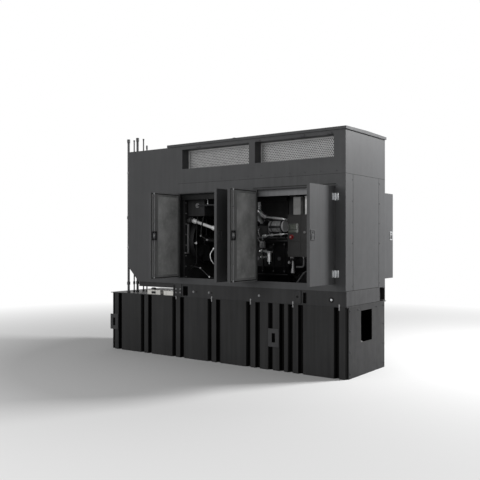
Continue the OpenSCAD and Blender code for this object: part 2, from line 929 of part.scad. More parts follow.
// Machinery levels and ends
block_z = encl_z + sump_h;
head_z = block_z + block_h;
cover_z = head_z + head_h;
radiator_x = door_1_left + radiator_in;
radiator_w = 2 * (half_w - radiator_clear);
charge_y = radiator_w / 2 - radiator_bar - charge_in;
header_y = radiator_w / 2 - 2 * radiator_bar;
coolant_y = header_y - header_tank_w - coolant_gap - coolant_d / 2;
engine_x1 = encl_x(engine_s);
engine_x0 = radiator_x + fan_room;
engine_l = engine_x1 - engine_x0;
core_face = radiator_x - radiator_bar / 2;
head_x0 = engine_x0 + wall_t;
head_l = engine_l - 2 * wall_t;

// The sump narrows towards its floor
module oil_sump() {
    color(engine_dark)
        along_x(head_x0, head_x0 + head_l)
            polygon([
                [-head_w / 3, encl_z],
                [head_w / 3, encl_z],
                [head_w / 2, block_z],
                [-head_w / 2, block_z]
            ]);
}

// The block's skirt bulges below the cylinders
module engine_block() {
    color(engine_dark)
        along_x(engine_x0, engine_x1)
            polygon([
                [-head_w / 2, block_z],
                [head_w / 2, block_z],
                [engine_w / 2, block_z + block_h / 4],
                [engine_w / 2, block_z + block_h * 3 / 4],
                [head_w / 2, head_z],
                [-head_w / 2, head_z],
                [-engine_w / 2, block_z + block_h * 3 / 4],
                [-engine_w / 2, block_z + block_h / 4]
            ]);
}

// One rocker cover for each cylinder
module engine_head() {
    cover_l = head_l / cover_count - cover_gap;
    color(engine_dark) {
        block([head_x0, -head_w / 2, head_z], [head_x0 + head_l, head_w / 2, cover_z]);
        for (i = [0:cover_count - 1]) {
            x = head_x0 + cover_gap / 2 + i * head_l / cover_count;
            along_x(x, x + cover_l)
                polygon([
                    [-head_w / 3, cover_z],
                    [head_w / 3, cover_z],
                    [head_w / 4, cover_z + cover_h],
                    [-head_w / 4, cover_z + cover_h]
                ]);
        }
    }
}

// A hose on the radiator, a rising pipe and an elbow into the cylinder head
module charge_air_pipe() {
    outer = [core_face, -charge_y, encl_z + charge_high];
    knee = [head_x0 + hose_l, -charge_y, encl_z + charge_low];
    color(steel) {
        bar(outer, outer + [hose_l, 0, 0], hose_d);
        bar(outer + [hose_l - charge_d / 2, 0, 0], knee, charge_d);
        translate(knee) cylinder(h = hose_d, d = hose_d, center = true);
        bar(knee, [knee[0], -head_w / 2, knee[2]], charge_d);
    }
}

// Out of the radiator, along over the engine and down into the cylinder head
module coolant_pipe() {
    outer = [core_face, -coolant_y, encl_z + coolant_up];
    knee = [head_x0 + cover_gap + coolant_d, -coolant_y, encl_z + coolant_up];
    color(engine_dark) {
        bar(outer, knee + [coolant_d / 2, 0, 0], coolant_d);
        bar(knee, [knee[0], knee[1], cover_z + cover_h], coolant_d);
    }
}

// A canister along the head with end rings, on a saddle
module air_cleaner() {
    x1 = engine_x1 - cleaner_gap;
    x0 = x1 - cleaner_l;
    y = -head_w / 2 - cleaner_gap - cleaner_d / 2;
    z = head_z + cleaner_up;
    ring = cleaner_l / 10;
    color(engine_dark) {
        bar([x0 + ring, y, z], [x1 - ring, y, z], cleaner_d - ring);
        for (x = [x0, (x0 + x1 - ring) / 2, x1 - ring])
            bar([x, y, z], [x + ring, y, z], cleaner_d);
        block([x0 + 2 * ring, y, z - 2 * ring], [x1 - 2 * ring, -head_w / 2, z]);
    }
}

// A canister under a head that is bolted to the block's side
module fuel_filter() {
    x = engine_x1 - filter_in;
    y = -engine_w / 2 - filter_d * 2 / 3;
    z = block_z + block_h / 2 + filter_h / 2;
    head_t = filter_d / 2;
    color(engine_dark) {
        block([x - filter_d / 2, y - filter_d / 3, z],
              [x + filter_d / 2, -engine_w / 2, z + head_t]);
        bar([x, y, z - filter_h], [x, y, z], filter_d);
    }
}

module radiator_frame() {
    color(engine_dark)
        difference() {
            block([radiator_x - core_t, -radiator_w / 2, encl_z],
                  [radiator_x, radiator_w / 2, encl_z + radiator_h]);
            block([radiator_x - 2 * core_t, -radiator_w / 2 + radiator_bar, encl_z + radiator_bar],
                  [radiator_x + core_t, radiator_w / 2 - radiator_bar, encl_z + radiator_h - radiator_bar]);
        }
}

module radiator_core() {
    color(engine_dark)
        block([radiator_x - core_t + radiator_bar / 2, -radiator_w / 2 + radiator_bar, encl_z + radiator_bar],
              [core_face, radiator_w / 2 - radiator_bar, encl_z + radiator_h - radiator_bar]);
}

// Hangs on the core's face under the frame's top bar
module header_tank() {
    z1 = encl_z + radiator_h - radiator_bar;
    color(engine_dark)
        block([core_face, -header_y, z1 - header_tank_h],
              [core_face + header_tank_l, -header_y + header_tank_w, z1]);
}

// Body with an end bell, a base on the crossmembers and a terminal box on top
module alternator() {
    x0 = encl_x(engine_s);
    x1 = encl_x(alternator_s);
    axis_z = block_z + alternator_d / 2;
    color(engine_dark) {
        bar([x0, 0, axis_z], [x1 - bell_l, 0, axis_z], alternator_d);
        bar([x1 - bell_l, 0, axis_z], [x1, 0, axis_z], alternator_d * 3 / 4);
        block([x0 + bell_l, -alternator_d / 3, encl_z], [x1 - bell_l, alternator_d / 3, axis_z]);
        block([x0 + 4 * bell_l, -alternator_d / 3, axis_z],
              [x1 - bell_l, alternator_d / 3, axis_z + alternator_d / 2 + terminal_h]);
    }
}

cabinet_x0 = encl_x(cabinet_s);
cabinet_y1 = -alternator_d / 2 - cabinet_clear;
cabinet_y0 = cabinet_y1 - cabinet_d;
cabinet_z = encl_z + cabinet_up;

// The door of the cabinet shows as a groove across its front
module control_cabinet() {
    door_x = cabinet_x0 + bezel_in + bezel_w + 2 * bezel_in;
    color(engine_dark)
        difference() {
            block([cabinet_x0, cabinet_y0, cabinet_z],
                  [cabinet_x0 + cabinet_w, cabinet_y1, cabinet_z + cabinet_h]);
            block([door_x, cabinet_y0 - seam, cabinet_z - seam],
                  [door_x + seam, cabinet_y0 + seam, cabinet_z + cabinet_h + seam]);
        }
}

// Stands on the second crossmember
module cabinet_stand() {
    color(engine_dark)
        block([cross_x(1) - cross_w / 2, cabinet_y0 + cabinet_d / 3, encl_z],
              [cross_x(1) + cross_w / 2, cabinet_y1, cabinet_z]);
}

module control_face() {
    x0 = cabinet_x0 + bezel_in;
    z0 = cabinet_z + bezel_up;
    color(steel)
        difference() {
            block([x0, cabinet_y0 - bezel_t, z0], [x0 + bezel_w, cabinet_y0, z0 + bezel_h]);
            block([x0 + bezel_t, cabinet_y0 - 2 * bezel_t, z0 + 2 * bezel_t],
                  [x0 + bezel_w - bezel_t, cabinet_y0 - bezel_t / 2, z0 + bezel_h - bezel_t]);
        }
}

module charger_box() {
    x0 = cabinet_x0 + charger_in;
    z0 = cabinet_z + cabinet_h;
    color(steel)
        block([x0, cabinet_y0, z0], [x0 + charger_w, cabinet_y0 + cabinet_d * 2 / 3, z0 + charger_h]);
}

tank_floor();
tank_top();
tank_side_walls();
tank_left_end();
tank_bulkhead();
stub_up_panel();
tank_panels();
tank_ribs();
lift_plates();
fill_box();
gauge_box();
vent_pipes();
skid_rails();
lifting_eyes();
skid_end_plate();
skid_crossmembers();
hood_sill();
hood_side_walls();
door_posts();
door_sills();
door_headers();
upper_walls();
vent_screens();
right_end_corners();
right_end_panel();
right_end_upper();
left_end_wall();
roof_cap();
hood_grille();
hinge_plates();
rear_closed_doors();
rear_closed_latches();
front_door_1_left();
front_door_1_left_latch();
front_door_1_right();
front_door_1_right_latch();
front_door_2_left();
front_door_2_left_latch();
front_door_2_right();
front_door_2_right_latch();
rear_door_2_right();
rear_door_2_right_latch();
engine_block();
oil_sump();
engine_head();
charge_air_pipe();
coolant_pipe();
air_cleaner();
fuel_filter();
radiator_core();
radiator_frame();
header_tank();
alternator();
control_cabinet();
cabinet_stand();
control_face();
charger_box();
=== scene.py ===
"""Dresses the enclosed diesel generator on its fuel tank base.

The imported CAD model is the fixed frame. Each sub-assembly below is a class that gives the CAD
nodes their finishes and adds the pieces that are too fine for the CAD: perforated screens, bolts,
latches, linings, pipes, hoses and the controls.
"""

import logging
import math
from dataclasses import dataclass, field
from enum import Enum
from typing import Callable, Iterable, Optional, Sequence

import bmesh
import bpy
from mathutils import Matrix, Vector


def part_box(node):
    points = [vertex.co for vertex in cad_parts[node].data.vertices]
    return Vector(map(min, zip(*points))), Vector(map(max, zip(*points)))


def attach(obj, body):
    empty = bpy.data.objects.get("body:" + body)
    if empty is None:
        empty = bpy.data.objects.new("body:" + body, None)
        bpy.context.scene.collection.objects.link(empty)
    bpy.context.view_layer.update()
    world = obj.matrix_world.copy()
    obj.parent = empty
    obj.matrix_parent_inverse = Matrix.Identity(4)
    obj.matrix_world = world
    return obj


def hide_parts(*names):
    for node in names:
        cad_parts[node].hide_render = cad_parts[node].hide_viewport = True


LOG = logging.getLogger("generator")
Point = tuple[float, float, float]
Colour = tuple[float, float, float]
Socket = bpy.types.NodeSocket

UP, DOWN = (0.0, 0.0, 1.0), (0.0, 0.0, -1.0)
FORE, BACK = (0.0, -1.0, 0.0), (0.0, 1.0, 0.0)
RIGHT = (1.0, 0.0, 0.0)
SMOOTH_DEG = 35.0  # faces that meet under this angle are shaded smooth
NOISE = (0.3, 0.7)  # the range in which most noise values lie
HOOD_GREY: Colour = (0.085, 0.086, 0.0885)
DUST = (0.33, 0.32, 0.30, 1.0)
CORE_DIRT = (0.05, 0.045, 0.04, 1.0)
PLANT = "plant"  # the CAD body of all that doesn't swing

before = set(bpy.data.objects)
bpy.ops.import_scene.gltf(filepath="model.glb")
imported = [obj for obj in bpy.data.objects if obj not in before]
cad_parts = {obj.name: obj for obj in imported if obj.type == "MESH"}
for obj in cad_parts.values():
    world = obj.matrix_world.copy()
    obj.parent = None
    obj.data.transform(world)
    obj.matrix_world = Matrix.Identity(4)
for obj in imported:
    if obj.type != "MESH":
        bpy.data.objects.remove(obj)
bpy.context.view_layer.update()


class Axis(Enum):
    """The three directions of the frame."""

    X = 0
    Y = 1
    Z = 2


class Slot(Enum):
    """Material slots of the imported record."""

    TANK = "tank_paint"
    SKID = "skid_paint"
    WALL = "wall_paint"
    SCREEN = "screen_metal"
    WHITE = "white_box"
    PIPE = "pipe_paint"
    LATCH = "latch_steel"
    ENGINE = "engine_paint"
    BRIGHT = "bright_metal"
    CABINET = "cabinet_paint"
    CONTROL = "control_plastic"
    GREY = "cabinet_grey"


class NodeGraph:
    """A small helper that adds and links shader nodes."""

    def __init__(self, tree: bpy.types.NodeTree) -> None:
        """Keeps the tree.

        Args:
            tree: the node tree to fill.
        """
        self.tree = tree

    def node(self, kind: str, inputs: Optional[dict] = None, **settings: object) -> bpy.types.Node:
        """Adds one node.

        Args:
            kind: the node's type name.
            inputs: values or output sockets by input name or number.
            settings: plain attributes of the node.

        Returns:
            The new node.
        """
        made = self.tree.nodes.new(kind)
        for name, value in settings.items():
            setattr(made, name, value)
        for name, value in (inputs or {}).items():
            if isinstance(value, Socket):
                self.tree.links.new(value, made.inputs[name])
            else:
                made.inputs[name].default_value = value
        return made

    def math(self, operation: str, first: object, second: object = 0.0) -> Socket:
        """Adds a Math node.

        Args:
            operation: the Math node's operation.
            first: a number or a socket.
            second: a number or a socket.

        Returns:
            The value socket.
        """
        return self.node("ShaderNodeMath", {0: first, 1: second}, operation=operation).outputs[0]

    def spread(self, value: object, low: float, high: float, out_low: float,
               out_high: float) -> Socket:
        """Maps a value from one range to another, clamped.

        Args:
            value: the socket to map.
            low: the range's low end.
            high: the range's high end.
            out_low: the result at the low end.
            out_high: the result at the high end.

        Returns:
            The mapped value.
        """
        made = self.node("ShaderNodeMapRange", {0: value, 1: low, 2: high, 3: out_low, 4: out_high},
                         clamp=True)
        return made.outputs[0]

    def noise(self, scale: float, detail: float = 3.0, stretch: Optional[Point] = None) -> Socket:
        """Adds noise on Object coordinates.

        Args:
            scale: cells in a metre.
            detail: octaves of the noise.
            stretch: scale of each axis before the noise, for streaks and brush marks.

        Returns:
            The noise value.
        """
        where = self.node("ShaderNodeTexCoord").outputs["Object"]
        if stretch:
            where = self.node("ShaderNodeMapping", {"Vector": where, "Scale": stretch}).outputs[0]
        made = self.node("ShaderNodeTexNoise", {"Vector": where, "Scale": scale, "Detail": detail})
        return made.outputs[0]

    def mix(self, share: object, first: object, second: object) -> Socket:
        """Mixes two colours.

        Args:
            share: how much of the second colour.
            first: the first colour.
            second: the second colour.

        Returns:
            The mixed colour.
        """
        made = self.node("ShaderNodeMix", {0: share, 6: first, 7: second}, data_type="RGBA")
        return made.outputs[2]


def shade(colour: Colour, factor: float) -> tuple[float, float, float, float]:
    """Returns the colour made lighter or darker, with full alpha."""
    return tuple(min(1.0, c * factor) for c in colour) + (1.0,)


@dataclass(frozen=True)
class Finish:
    """A finish that can be made into a material.

    Attributes:
        name: the material's name.
        colour: the main colour, linear.
        roughness: the mean roughness.
        specular: strength of the plain reflection.
    """

    name: str
    colour: Colour
    roughness: float = 0.5
    specular: float = 0.5

    def material(self) -> bpy.types.Material:
        """Makes the material at the first call.

        Returns:
            The finish's material.
        """
        known = bpy.data.materials.get(self.name)
        if known:
            return known
        made = bpy.data.materials.new(self.name)
        made.use_nodes = True
        made.node_tree.nodes.clear()
        graph = NodeGraph(made.node_tree)
        surface = graph.node("ShaderNodeBsdfPrincipled")
        surface.inputs["Base Color"].default_value = shade(self.colour, 1.0)
        surface.inputs["Roughness"].default_value = self.roughness
        surface.inputs["Specular IOR Level"].default_value = self.specular
        self.dress(graph, surface)
        graph.node("ShaderNodeOutputMaterial", {"Surface": surface.outputs[0]})
        return made

    def dress(self, graph: NodeGraph, surface: bpy.types.Node) -> None:
        """Adds the finish's own nodes.

        Args:
            graph: the material's graph.
            surface: its Principled node.
        """
        cloud = graph.spread(graph.noise(9.0), *NOISE, 0.0, 1.0)
        self.join(graph, surface, "Base Color", self.tones(graph, cloud, 0.9, 1.1))

    @staticmethod
    def join(graph: NodeGraph, surface: bpy.types.Node, name: str, socket: Socket) -> None:
        """Links a socket to one of the surface's inputs."""
        graph.tree.links.new(socket, surface.inputs[name])

    @staticmethod
    def soft_edge(graph: NodeGraph, radius: float) -> Socket:
        """Returns a normal that rounds the edges off."""
        return graph.node("ShaderNodeBevel", {"Radius": radius}, samples=4).outputs[0]

    def tones(self, graph: NodeGraph, share: Socket, dark: float, light: float) -> Socket:
        """Returns a mix of a darker and a lighter tone of the colour."""
        return graph.mix(share, shade(self.colour, dark), shade(self.colour, light))

    def relief(self, graph: NodeGraph, surface: bpy.types.Node, strength: float, depth: float,
               height: Socket, soft: Optional[Socket] = None) -> None:
        """Adds a bump.

        Args:
            graph: the material's graph.
            surface: its Principled node.
            strength: the bump's strength.
            depth: its full depth in metres.
            height: the height at each place.
            soft: the normal that it starts from, where the edges are rounded.
        """
        inputs = {"Strength": strength, "Distance": depth, "Height": height}
        if soft:
            inputs["Normal"] = soft
        self.join(graph, surface, "Normal", graph.node("ShaderNodeBump", inputs).outputs[0])


@dataclass(frozen=True)
class PaintFinish(Finish):
    """Sprayed or powder paint on steel.

    Attributes:
        cloud: how far the tone wanders over a metre.
        streak: strength of the faint vertical wash marks.
        peel: height of the orange peel.
        dust: how much the upper faces are greyed by dust.
        wear_and_highlight: edges painted lighter, partly worn paint, partly painted highlight.
        edge: radius of the softened edges, in metres.
        sunk: painted shade (under 1) or light (over 1) in grooves behind the face, 1 for none.
        sunk_from_x: place along X from which the front's grooves take this painted tone.
        sunk_else: painted shade or light in the other grooves; 0 takes the same factor.
        face_y: distance of the face from the middle, for the grooves.
    """

    cloud: float = 0.1
    streak: float = 0.08
    peel: float = 0.12
    dust: float = 0.12
    wear_and_highlight: float = 0.35
    edge: float = 0.004
    sunk: float = 1.0
    sunk_from_x: float = -99.0
    sunk_else: float = 0.0
    face_y: float = 0.74

    def dress(self, graph: NodeGraph, surface: bpy.types.Node) -> None:
        """Adds clouds, wash marks, dust, pale edges, painted groove shade and light, orange peel.

        Args:
            graph: the material's graph.
            surface: its Principled node.
        """
        cloud = graph.spread(graph.noise(1.3, 4.0), *NOISE, 1.0 - self.cloud, 1.0 + self.cloud)
        wash = graph.noise(1.0, 4.0, (14.0, 14.0, 0.7))
        streak = graph.spread(wash, 0.35, 0.7, 1.0 + self.streak, 1.0 - self.streak)
        tone = graph.math("MULTIPLY", cloud, streak)
        place = graph.node("ShaderNodeTexCoord").outputs["Object"]
        parts = graph.node("ShaderNodeSeparateXYZ", {0: place})
        # Painted shade and light: grooves behind the face take a darker or lighter tone.
        if self.sunk != 1.0:
            depth = graph.math("ABSOLUTE", parts.outputs[1])
            behind = graph.spread(depth, self.face_y - 0.014, self.face_y - 0.001, 1.0, 0.0)
            here = graph.math("MULTIPLY",
                              graph.math("GREATER_THAN", parts.outputs[0], self.sunk_from_x),
                              graph.math("LESS_THAN", parts.outputs[1], 0.0))
            factor = graph.spread(here, 0.0, 1.0, self.sunk_else or self.sunk, self.sunk)
            change = graph.math("MULTIPLY", behind, graph.math("SUBTRACT", factor, 1.0))
            tone = graph.math("MULTIPLY", tone, graph.math("ADD", change, 1.0))
        colour = graph.node("ShaderNodeVectorMath", {0: self.colour, 1: tone},
                            operation="MULTIPLY").outputs[0]
        solid = graph.node("ShaderNodeNewGeometry")
        up = graph.node("ShaderNodeSeparateXYZ", {0: solid.outputs["Normal"]}).outputs[2]
        dust = graph.math("MULTIPLY", graph.spread(up, 0.5, 1.0, 0.0, self.dust),
                          graph.spread(graph.noise(22.0, 5.0), 0.35, 0.65, 0.4, 1.0))
        colour = graph.mix(dust, colour, DUST)
        soft = self.soft_edge(graph, self.edge)
        flat = graph.node("ShaderNodeVectorMath", {0: soft, 1: solid.outputs["Normal"]},
                          operation="DOT_PRODUCT")
        # Edges painted lighter: partly worn paint, partly a painted highlight.
        worn_and_highlit_edge = graph.math("MULTIPLY",
                            graph.spread(flat.outputs["Value"], 0.99, 0.8, 0.0, self.wear_and_highlight),
                            graph.spread(graph.noise(35.0, 4.0), 0.35, 0.6, 0.3, 1.0))
        colour = graph.mix(worn_and_highlit_edge, colour, shade(self.colour, 2.6))
        self.join(graph, surface, "Base Color", colour)
        fine = graph.noise(420.0, 2.0)
        rough = graph.spread(graph.noise(6.0, 5.0), *NOISE, self.roughness - 0.06,
                             self.roughness + 0.08)
        self.join(graph, surface, "Roughness",
                  graph.math("ADD", rough, graph.math("MULTIPLY", dust, 0.5)))
        self.relief(graph, surface, self.peel, 0.0006, fine, soft)


@dataclass(frozen=True)
class MetalFinish(Finish):
    """Bare or plated metal with brush marks.

    Attributes:
        metallic: share of metal in the reflection.
        brush: stretch of the brush marks on each axis.
        stain: strength of the darker stains.
    """

    metallic: float = 1.0
    brush: Point = (40.0, 40.0, 2.0)
    stain: float = 0.25

    def dress(self, graph: NodeGraph, surface: bpy.types.Node) -> None:
        """Adds brush marks, stains and a softened edge.

        Args:
            graph: the material's graph.
            surface: its Principled node.
        """
        surface.inputs["Metallic"].default_value = self.metallic
        marks = graph.noise(12.0, 4.0, self.brush)
        stain = graph.spread(graph.noise(14.0, 5.0), 0.42, 0.7, 0.0, self.stain)
        toned = self.tones(graph, graph.spread(marks, *NOISE, 0.0, 1.0), 0.88, 1.1)
        self.join(graph, surface, "Base Color", graph.mix(stain, toned, shade(self.colour, 0.35)))
        self.join(graph, surface, "Roughness",
                  graph.spread(marks, 0.25, 0.75, self.roughness - 0.07, self.roughness + 0.1))
        self.relief(graph, surface, 0.08, 0.0005, marks, self.soft_edge(graph, 0.002))


@dataclass(frozen=True)
class LinerFinish(Finish):
    """Sound lining with a faced, slightly quilted surface.

    Attributes:
        quilt: size of the soft lumps, in lumps for a metre.
        mottle_and_sheen: how far the tone wanders, at random and as a painted sheen.
    """

    quilt: float = 16.0
    mottle_and_sheen: float = 0.3

    def dress(self, graph: NodeGraph, surface: bpy.types.Node) -> None:
        """Adds soft lumps, mottling with a painted sheen on the lumps, and a woven facing.

        Args:
            graph: the material's graph.
            surface: its Principled node.
        """
        lump = graph.noise(self.quilt, 4.0)
        fine = graph.noise(260.0, 2.0)
        # The wandering tone and the lighter tops of the lumps are partly a painted sheen.
        cloud = graph.spread(graph.noise(3.2, 4.0), *NOISE, 0.0, 1.0)
        toned = self.tones(graph, cloud, 1.0 - self.mottle_and_sheen, 1.0 + self.mottle_and_sheen)
        painted_sheen = graph.spread(lump, 0.5, 0.75, 0.0, 0.45)
        self.join(graph, surface, "Base Color", graph.mix(painted_sheen, toned, shade(self.colour, 1.55)))
        rough = graph.spread(lump, *NOISE, self.roughness + 0.1, self.roughness - 0.1)
        self.join(graph, surface, "Roughness", rough)
        height = graph.math("ADD", lump, graph.math("MULTIPLY", fine, 0.08))
        self.relief(graph, surface, 0.5, 0.006, height)


@dataclass(frozen=True)
class CastFinish(Finish):
    """Painted casting: rough skin, oil film and patches of grime.

    Attributes:
        grain: bumps of the casting's skin in a metre.
        grime: how dark the grime is.
    """

    grain: float = 160.0
    grime: float = 0.5

    def dress(self, graph: NodeGraph, surface: bpy.types.Node) -> None:
        """Adds a sand-cast skin, grime and glossy oily patches.

        Args:
            graph: the material's graph.
            surface: its Principled node.
        """
        skin = graph.noise(self.grain, 3.0)
        dirt = graph.spread(graph.noise(7.0, 6.0), 0.4, 0.7, 0.0, self.grime)
        toned = self.tones(graph, graph.spread(skin, *NOISE, 0.0, 1.0), 0.8, 1.25)
        self.join(graph, surface, "Base Color", graph.mix(dirt, toned, shade(self.colour, 0.3)))
        self.join(graph, surface, "Roughness",
                  graph.spread(graph.noise(4.0, 3.0), 0.4, 0.65, self.roughness,
                               self.roughness - 0.2))
        self.relief(graph, surface, 0.25, 0.001, skin, self.soft_edge(graph, 0.006))


@dataclass(frozen=True)
class MouldedFinish(Finish):
    """Moulded plastic or rubber with a fine grain.

    Attributes:
        grain: grains in a metre.
        depth: strength of the grain.
    """

    grain: float = 700.0
    depth: float = 0.2

    def dress(self, graph: NodeGraph, surface: bpy.types.Node) -> None:
        """Adds the moulded grain and a little greying.

        Args:
            graph: the material's graph.
            surface: its Principled node.
        """
        grain = graph.noise(self.grain, 2.0)
        cloud = graph.spread(graph.noise(11.0, 4.0), 0.35, 0.7, 0.0, 1.0)
        self.join(graph, surface, "Base Color", self.tones(graph, cloud, 0.85, 1.2))
        rough = graph.spread(cloud, 0.0, 1.0, self.roughness - 0.06, self.roughness + 0.06)
        self.join(graph, surface, "Roughness", rough)
        self.relief(graph, surface, self.depth, 0.0004, grain, self.soft_edge(graph, 0.002))


@dataclass(frozen=True)
class CoreFinish(Finish):
    """Radiator core: fine upright fins over cross tubes.

    Attributes:
        fins: fins in a metre.
        tubes: tubes in a metre of height.
    """

    fins: float = 190.0
    tubes: float = 55.0

    def dress(self, graph: NodeGraph, surface: bpy.types.Node) -> None:
        """Draws fins along Y and tubes along Z as bumps and as bands of painted light and shade.

        Args:
            graph: the material's graph.
            surface: its Principled node.
        """
        surface.inputs["Metallic"].default_value = 0.4
        place = graph.node("ShaderNodeTexCoord").outputs["Object"]
        parts = graph.node("ShaderNodeSeparateXYZ", {0: place})
        fin = graph.math("SINE", graph.math("MULTIPLY", parts.outputs[1], self.fins * 2 * math.pi))
        tube = graph.math("SINE",
                          graph.math("MULTIPLY", parts.outputs[2], self.tubes * 2 * math.pi))
        height = graph.math("ADD", graph.math("MULTIPLY", fin, 0.5), tube)
        # Painted light and shade: lighter on the fins and tubes, darker between them.
        tone = self.tones(graph, graph.spread(height, -1.2, 1.2, 0.0, 1.0), 0.5, 1.5)
        dirt = graph.spread(graph.noise(5.0, 5.0), 0.45, 0.75, 0.0, 0.5)
        self.join(graph, surface, "Base Color", graph.mix(dirt, tone, CORE_DIRT))
        self.relief(graph, surface, 0.7, 0.003, height)


@dataclass(frozen=True)
class ScreenFinish(Finish):
    """A dim display behind its cover.

    Attributes:
        glow: strength of the display's own light.
    """

    glow: float = 0.08

    def dress(self, graph: NodeGraph, surface: bpy.types.Node) -> None:
        """Adds faint rows on the display and a glossy cover.

        Args:
            graph: the material's graph.
            surface: its Principled node.
        """
        surface.inputs["Coat Weight"].default_value = 0.6
        surface.inputs["Emission Strength"].default_value = self.glow
        rows = graph.spread(graph.noise(40.0, 1.0, (0.6, 1.0, 5.0)), 0.45, 0.55, 0.0, 1.0)
        tone = self.tones(graph, rows, 0.75, 1.3)
        self.join(graph, surface, "Base Color", tone)
        self.join(graph, surface, "Emission Color", tone)


class Palette:
    """All finishes of the generator."""

    WALL = PaintFinish("hood_grey_paint", HOOD_GREY, 0.50, 0.15, cloud=0.05, streak=0.04, wear_and_highlight=0.2)
    # Painted shade: the rib flanks back in the grooves are painted twenty times darker.
    TANK = PaintFinish("tank_black_paint", (0.042, 0.042, 0.0425), 0.40, 0.08, cloud=0.12,
                       streak=0.12, dust=0.2, wear_and_highlight=0.2, sunk=0.05)
    TANK_END = PaintFinish("tank_end_paint", (0.034, 0.034, 0.035), 0.40, 0.12, cloud=0.12,
                           streak=0.12)
    # Painted shade: this near-black stands for the shade in the rib grooves and the window bay.
    SHADED_SHELL = PaintFinish("tank_shell_paint", (0.003, 0.003, 0.003), 0.55, 0.05, dust=0.0, wear_and_highlight=0.0)
    SKID = PaintFinish("rail_black_paint", (0.044, 0.044, 0.045), 0.46, 0.12, cloud=0.15,
                       streak=0.1, wear_and_highlight=0.4)
    SKID_END = PaintFinish("skid_end_paint", (0.062, 0.062, 0.064), 0.46, 0.15, cloud=0.12,
                           streak=0.1)
    # Lips behind the face: painted light over the right front doorway, painted shade elsewhere.
    HEADER = PaintFinish("header_paint", HOOD_GREY, 0.50, 0.15, cloud=0.05, wear_and_highlight=0.2, sunk=3.0,
                         sunk_from_x=0.8, sunk_else=0.10)
    # Painted shade: the closed doors' inner side is painted ten times darker.
    LINED = PaintFinish("lined_door_paint", HOOD_GREY, 0.50, 0.15, cloud=0.05, wear_and_highlight=0.2, sunk=0.1,
                        face_y=0.725)
    LEAF = PaintFinish("leaf_paint", HOOD_GREY, 0.48, 0.15, cloud=0.06, streak=0.06, wear_and_highlight=0.2)
    RIM = PaintFinish("inner_rim_paint", (0.30, 0.303, 0.303), 0.55, 0.15, cloud=0.08, wear_and_highlight=0.1)
    BAFFLE = PaintFinish("baffle_paint", (0.055, 0.055, 0.056), 0.6, 0.1, cloud=0.15)
    PIPE = PaintFinish("vent_pipe_paint", (0.075, 0.076, 0.078), 0.4, 0.3, streak=0.12)
    CREAM = PaintFinish("cream_box_paint", (0.90, 0.885, 0.84), 0.4, 0.4, cloud=0.05, streak=0.1,
                        dust=0.3, wear_and_highlight=0.1)
    CABINET = PaintFinish("cabinet_black_paint", (0.036, 0.0355, 0.0355), 0.5, 0.15, cloud=0.1,
                          streak=0.04)
    PALE = PaintFinish("charger_paint", (0.27, 0.27, 0.266), 0.45, 0.3, cloud=0.08, streak=0.05,
                       wear_and_highlight=0.15)
    SCREEN = MetalFinish("vent_screen_metal", (0.54, 0.54, 0.54), 0.5, 0.3, metallic=0.2,
                         brush=(30.0, 30.0, 6.0))
    STEEL = MetalFinish("zinc_steel", (0.56, 0.57, 0.58), 0.34, 0.5)
    DULL_STEEL = MetalFinish("dull_steel", (0.27, 0.27, 0.275), 0.5, 0.4, metallic=0.6)
    DARK_STEEL = MetalFinish("black_steel", (0.06, 0.06, 0.063), 0.45, 0.3, metallic=0.6)
    SATIN = MetalFinish("satin_alloy", (0.72, 0.725, 0.73), 0.3, 0.5, metallic=0.5, stain=0.1)
    POLISHED = MetalFinish("polished_alloy", (0.93, 0.935, 0.94), 0.3, 0.5, metallic=0.15,
                           stain=0.05)
    AIR = MetalFinish("air_cleaner_paint", (0.46, 0.46, 0.465), 0.5, 0.3, metallic=0.1)
    GREY_CAST = MetalFinish("grey_casting", (0.30, 0.30, 0.305), 0.5, 0.4, metallic=0.3,
                            brush=(50.0, 50.0, 50.0))
    LINER = LinerFinish("door_liner", (0.42, 0.424, 0.420), 0.55, 0.2)
    # Partly black paint, partly painted shade: darker than paint, for the dim interior.
    ENGINE = CastFinish("casting_black_paint", (0.005, 0.005, 0.0055), 0.5, 0.10)
    CORE = CoreFinish("radiator_core", (0.030, 0.030, 0.031), 0.5, 0.3)
    RUBBER = MouldedFinish("black_rubber", (0.012, 0.012, 0.012), 0.62, 0.2)
    PLASTIC = MouldedFinish("black_plastic", (0.015, 0.015, 0.016), 0.45, 0.3)
    RED = MouldedFinish("stop_red", (0.24, 0.006, 0.008), 0.35, 0.4)
    WHITE = MouldedFinish("white_plastic", (0.75, 0.75, 0.74), 0.4, 0.5)
    DISPLAY = ScreenFinish("controller_display", (0.058, 0.066, 0.054), 0.3, 0.3)


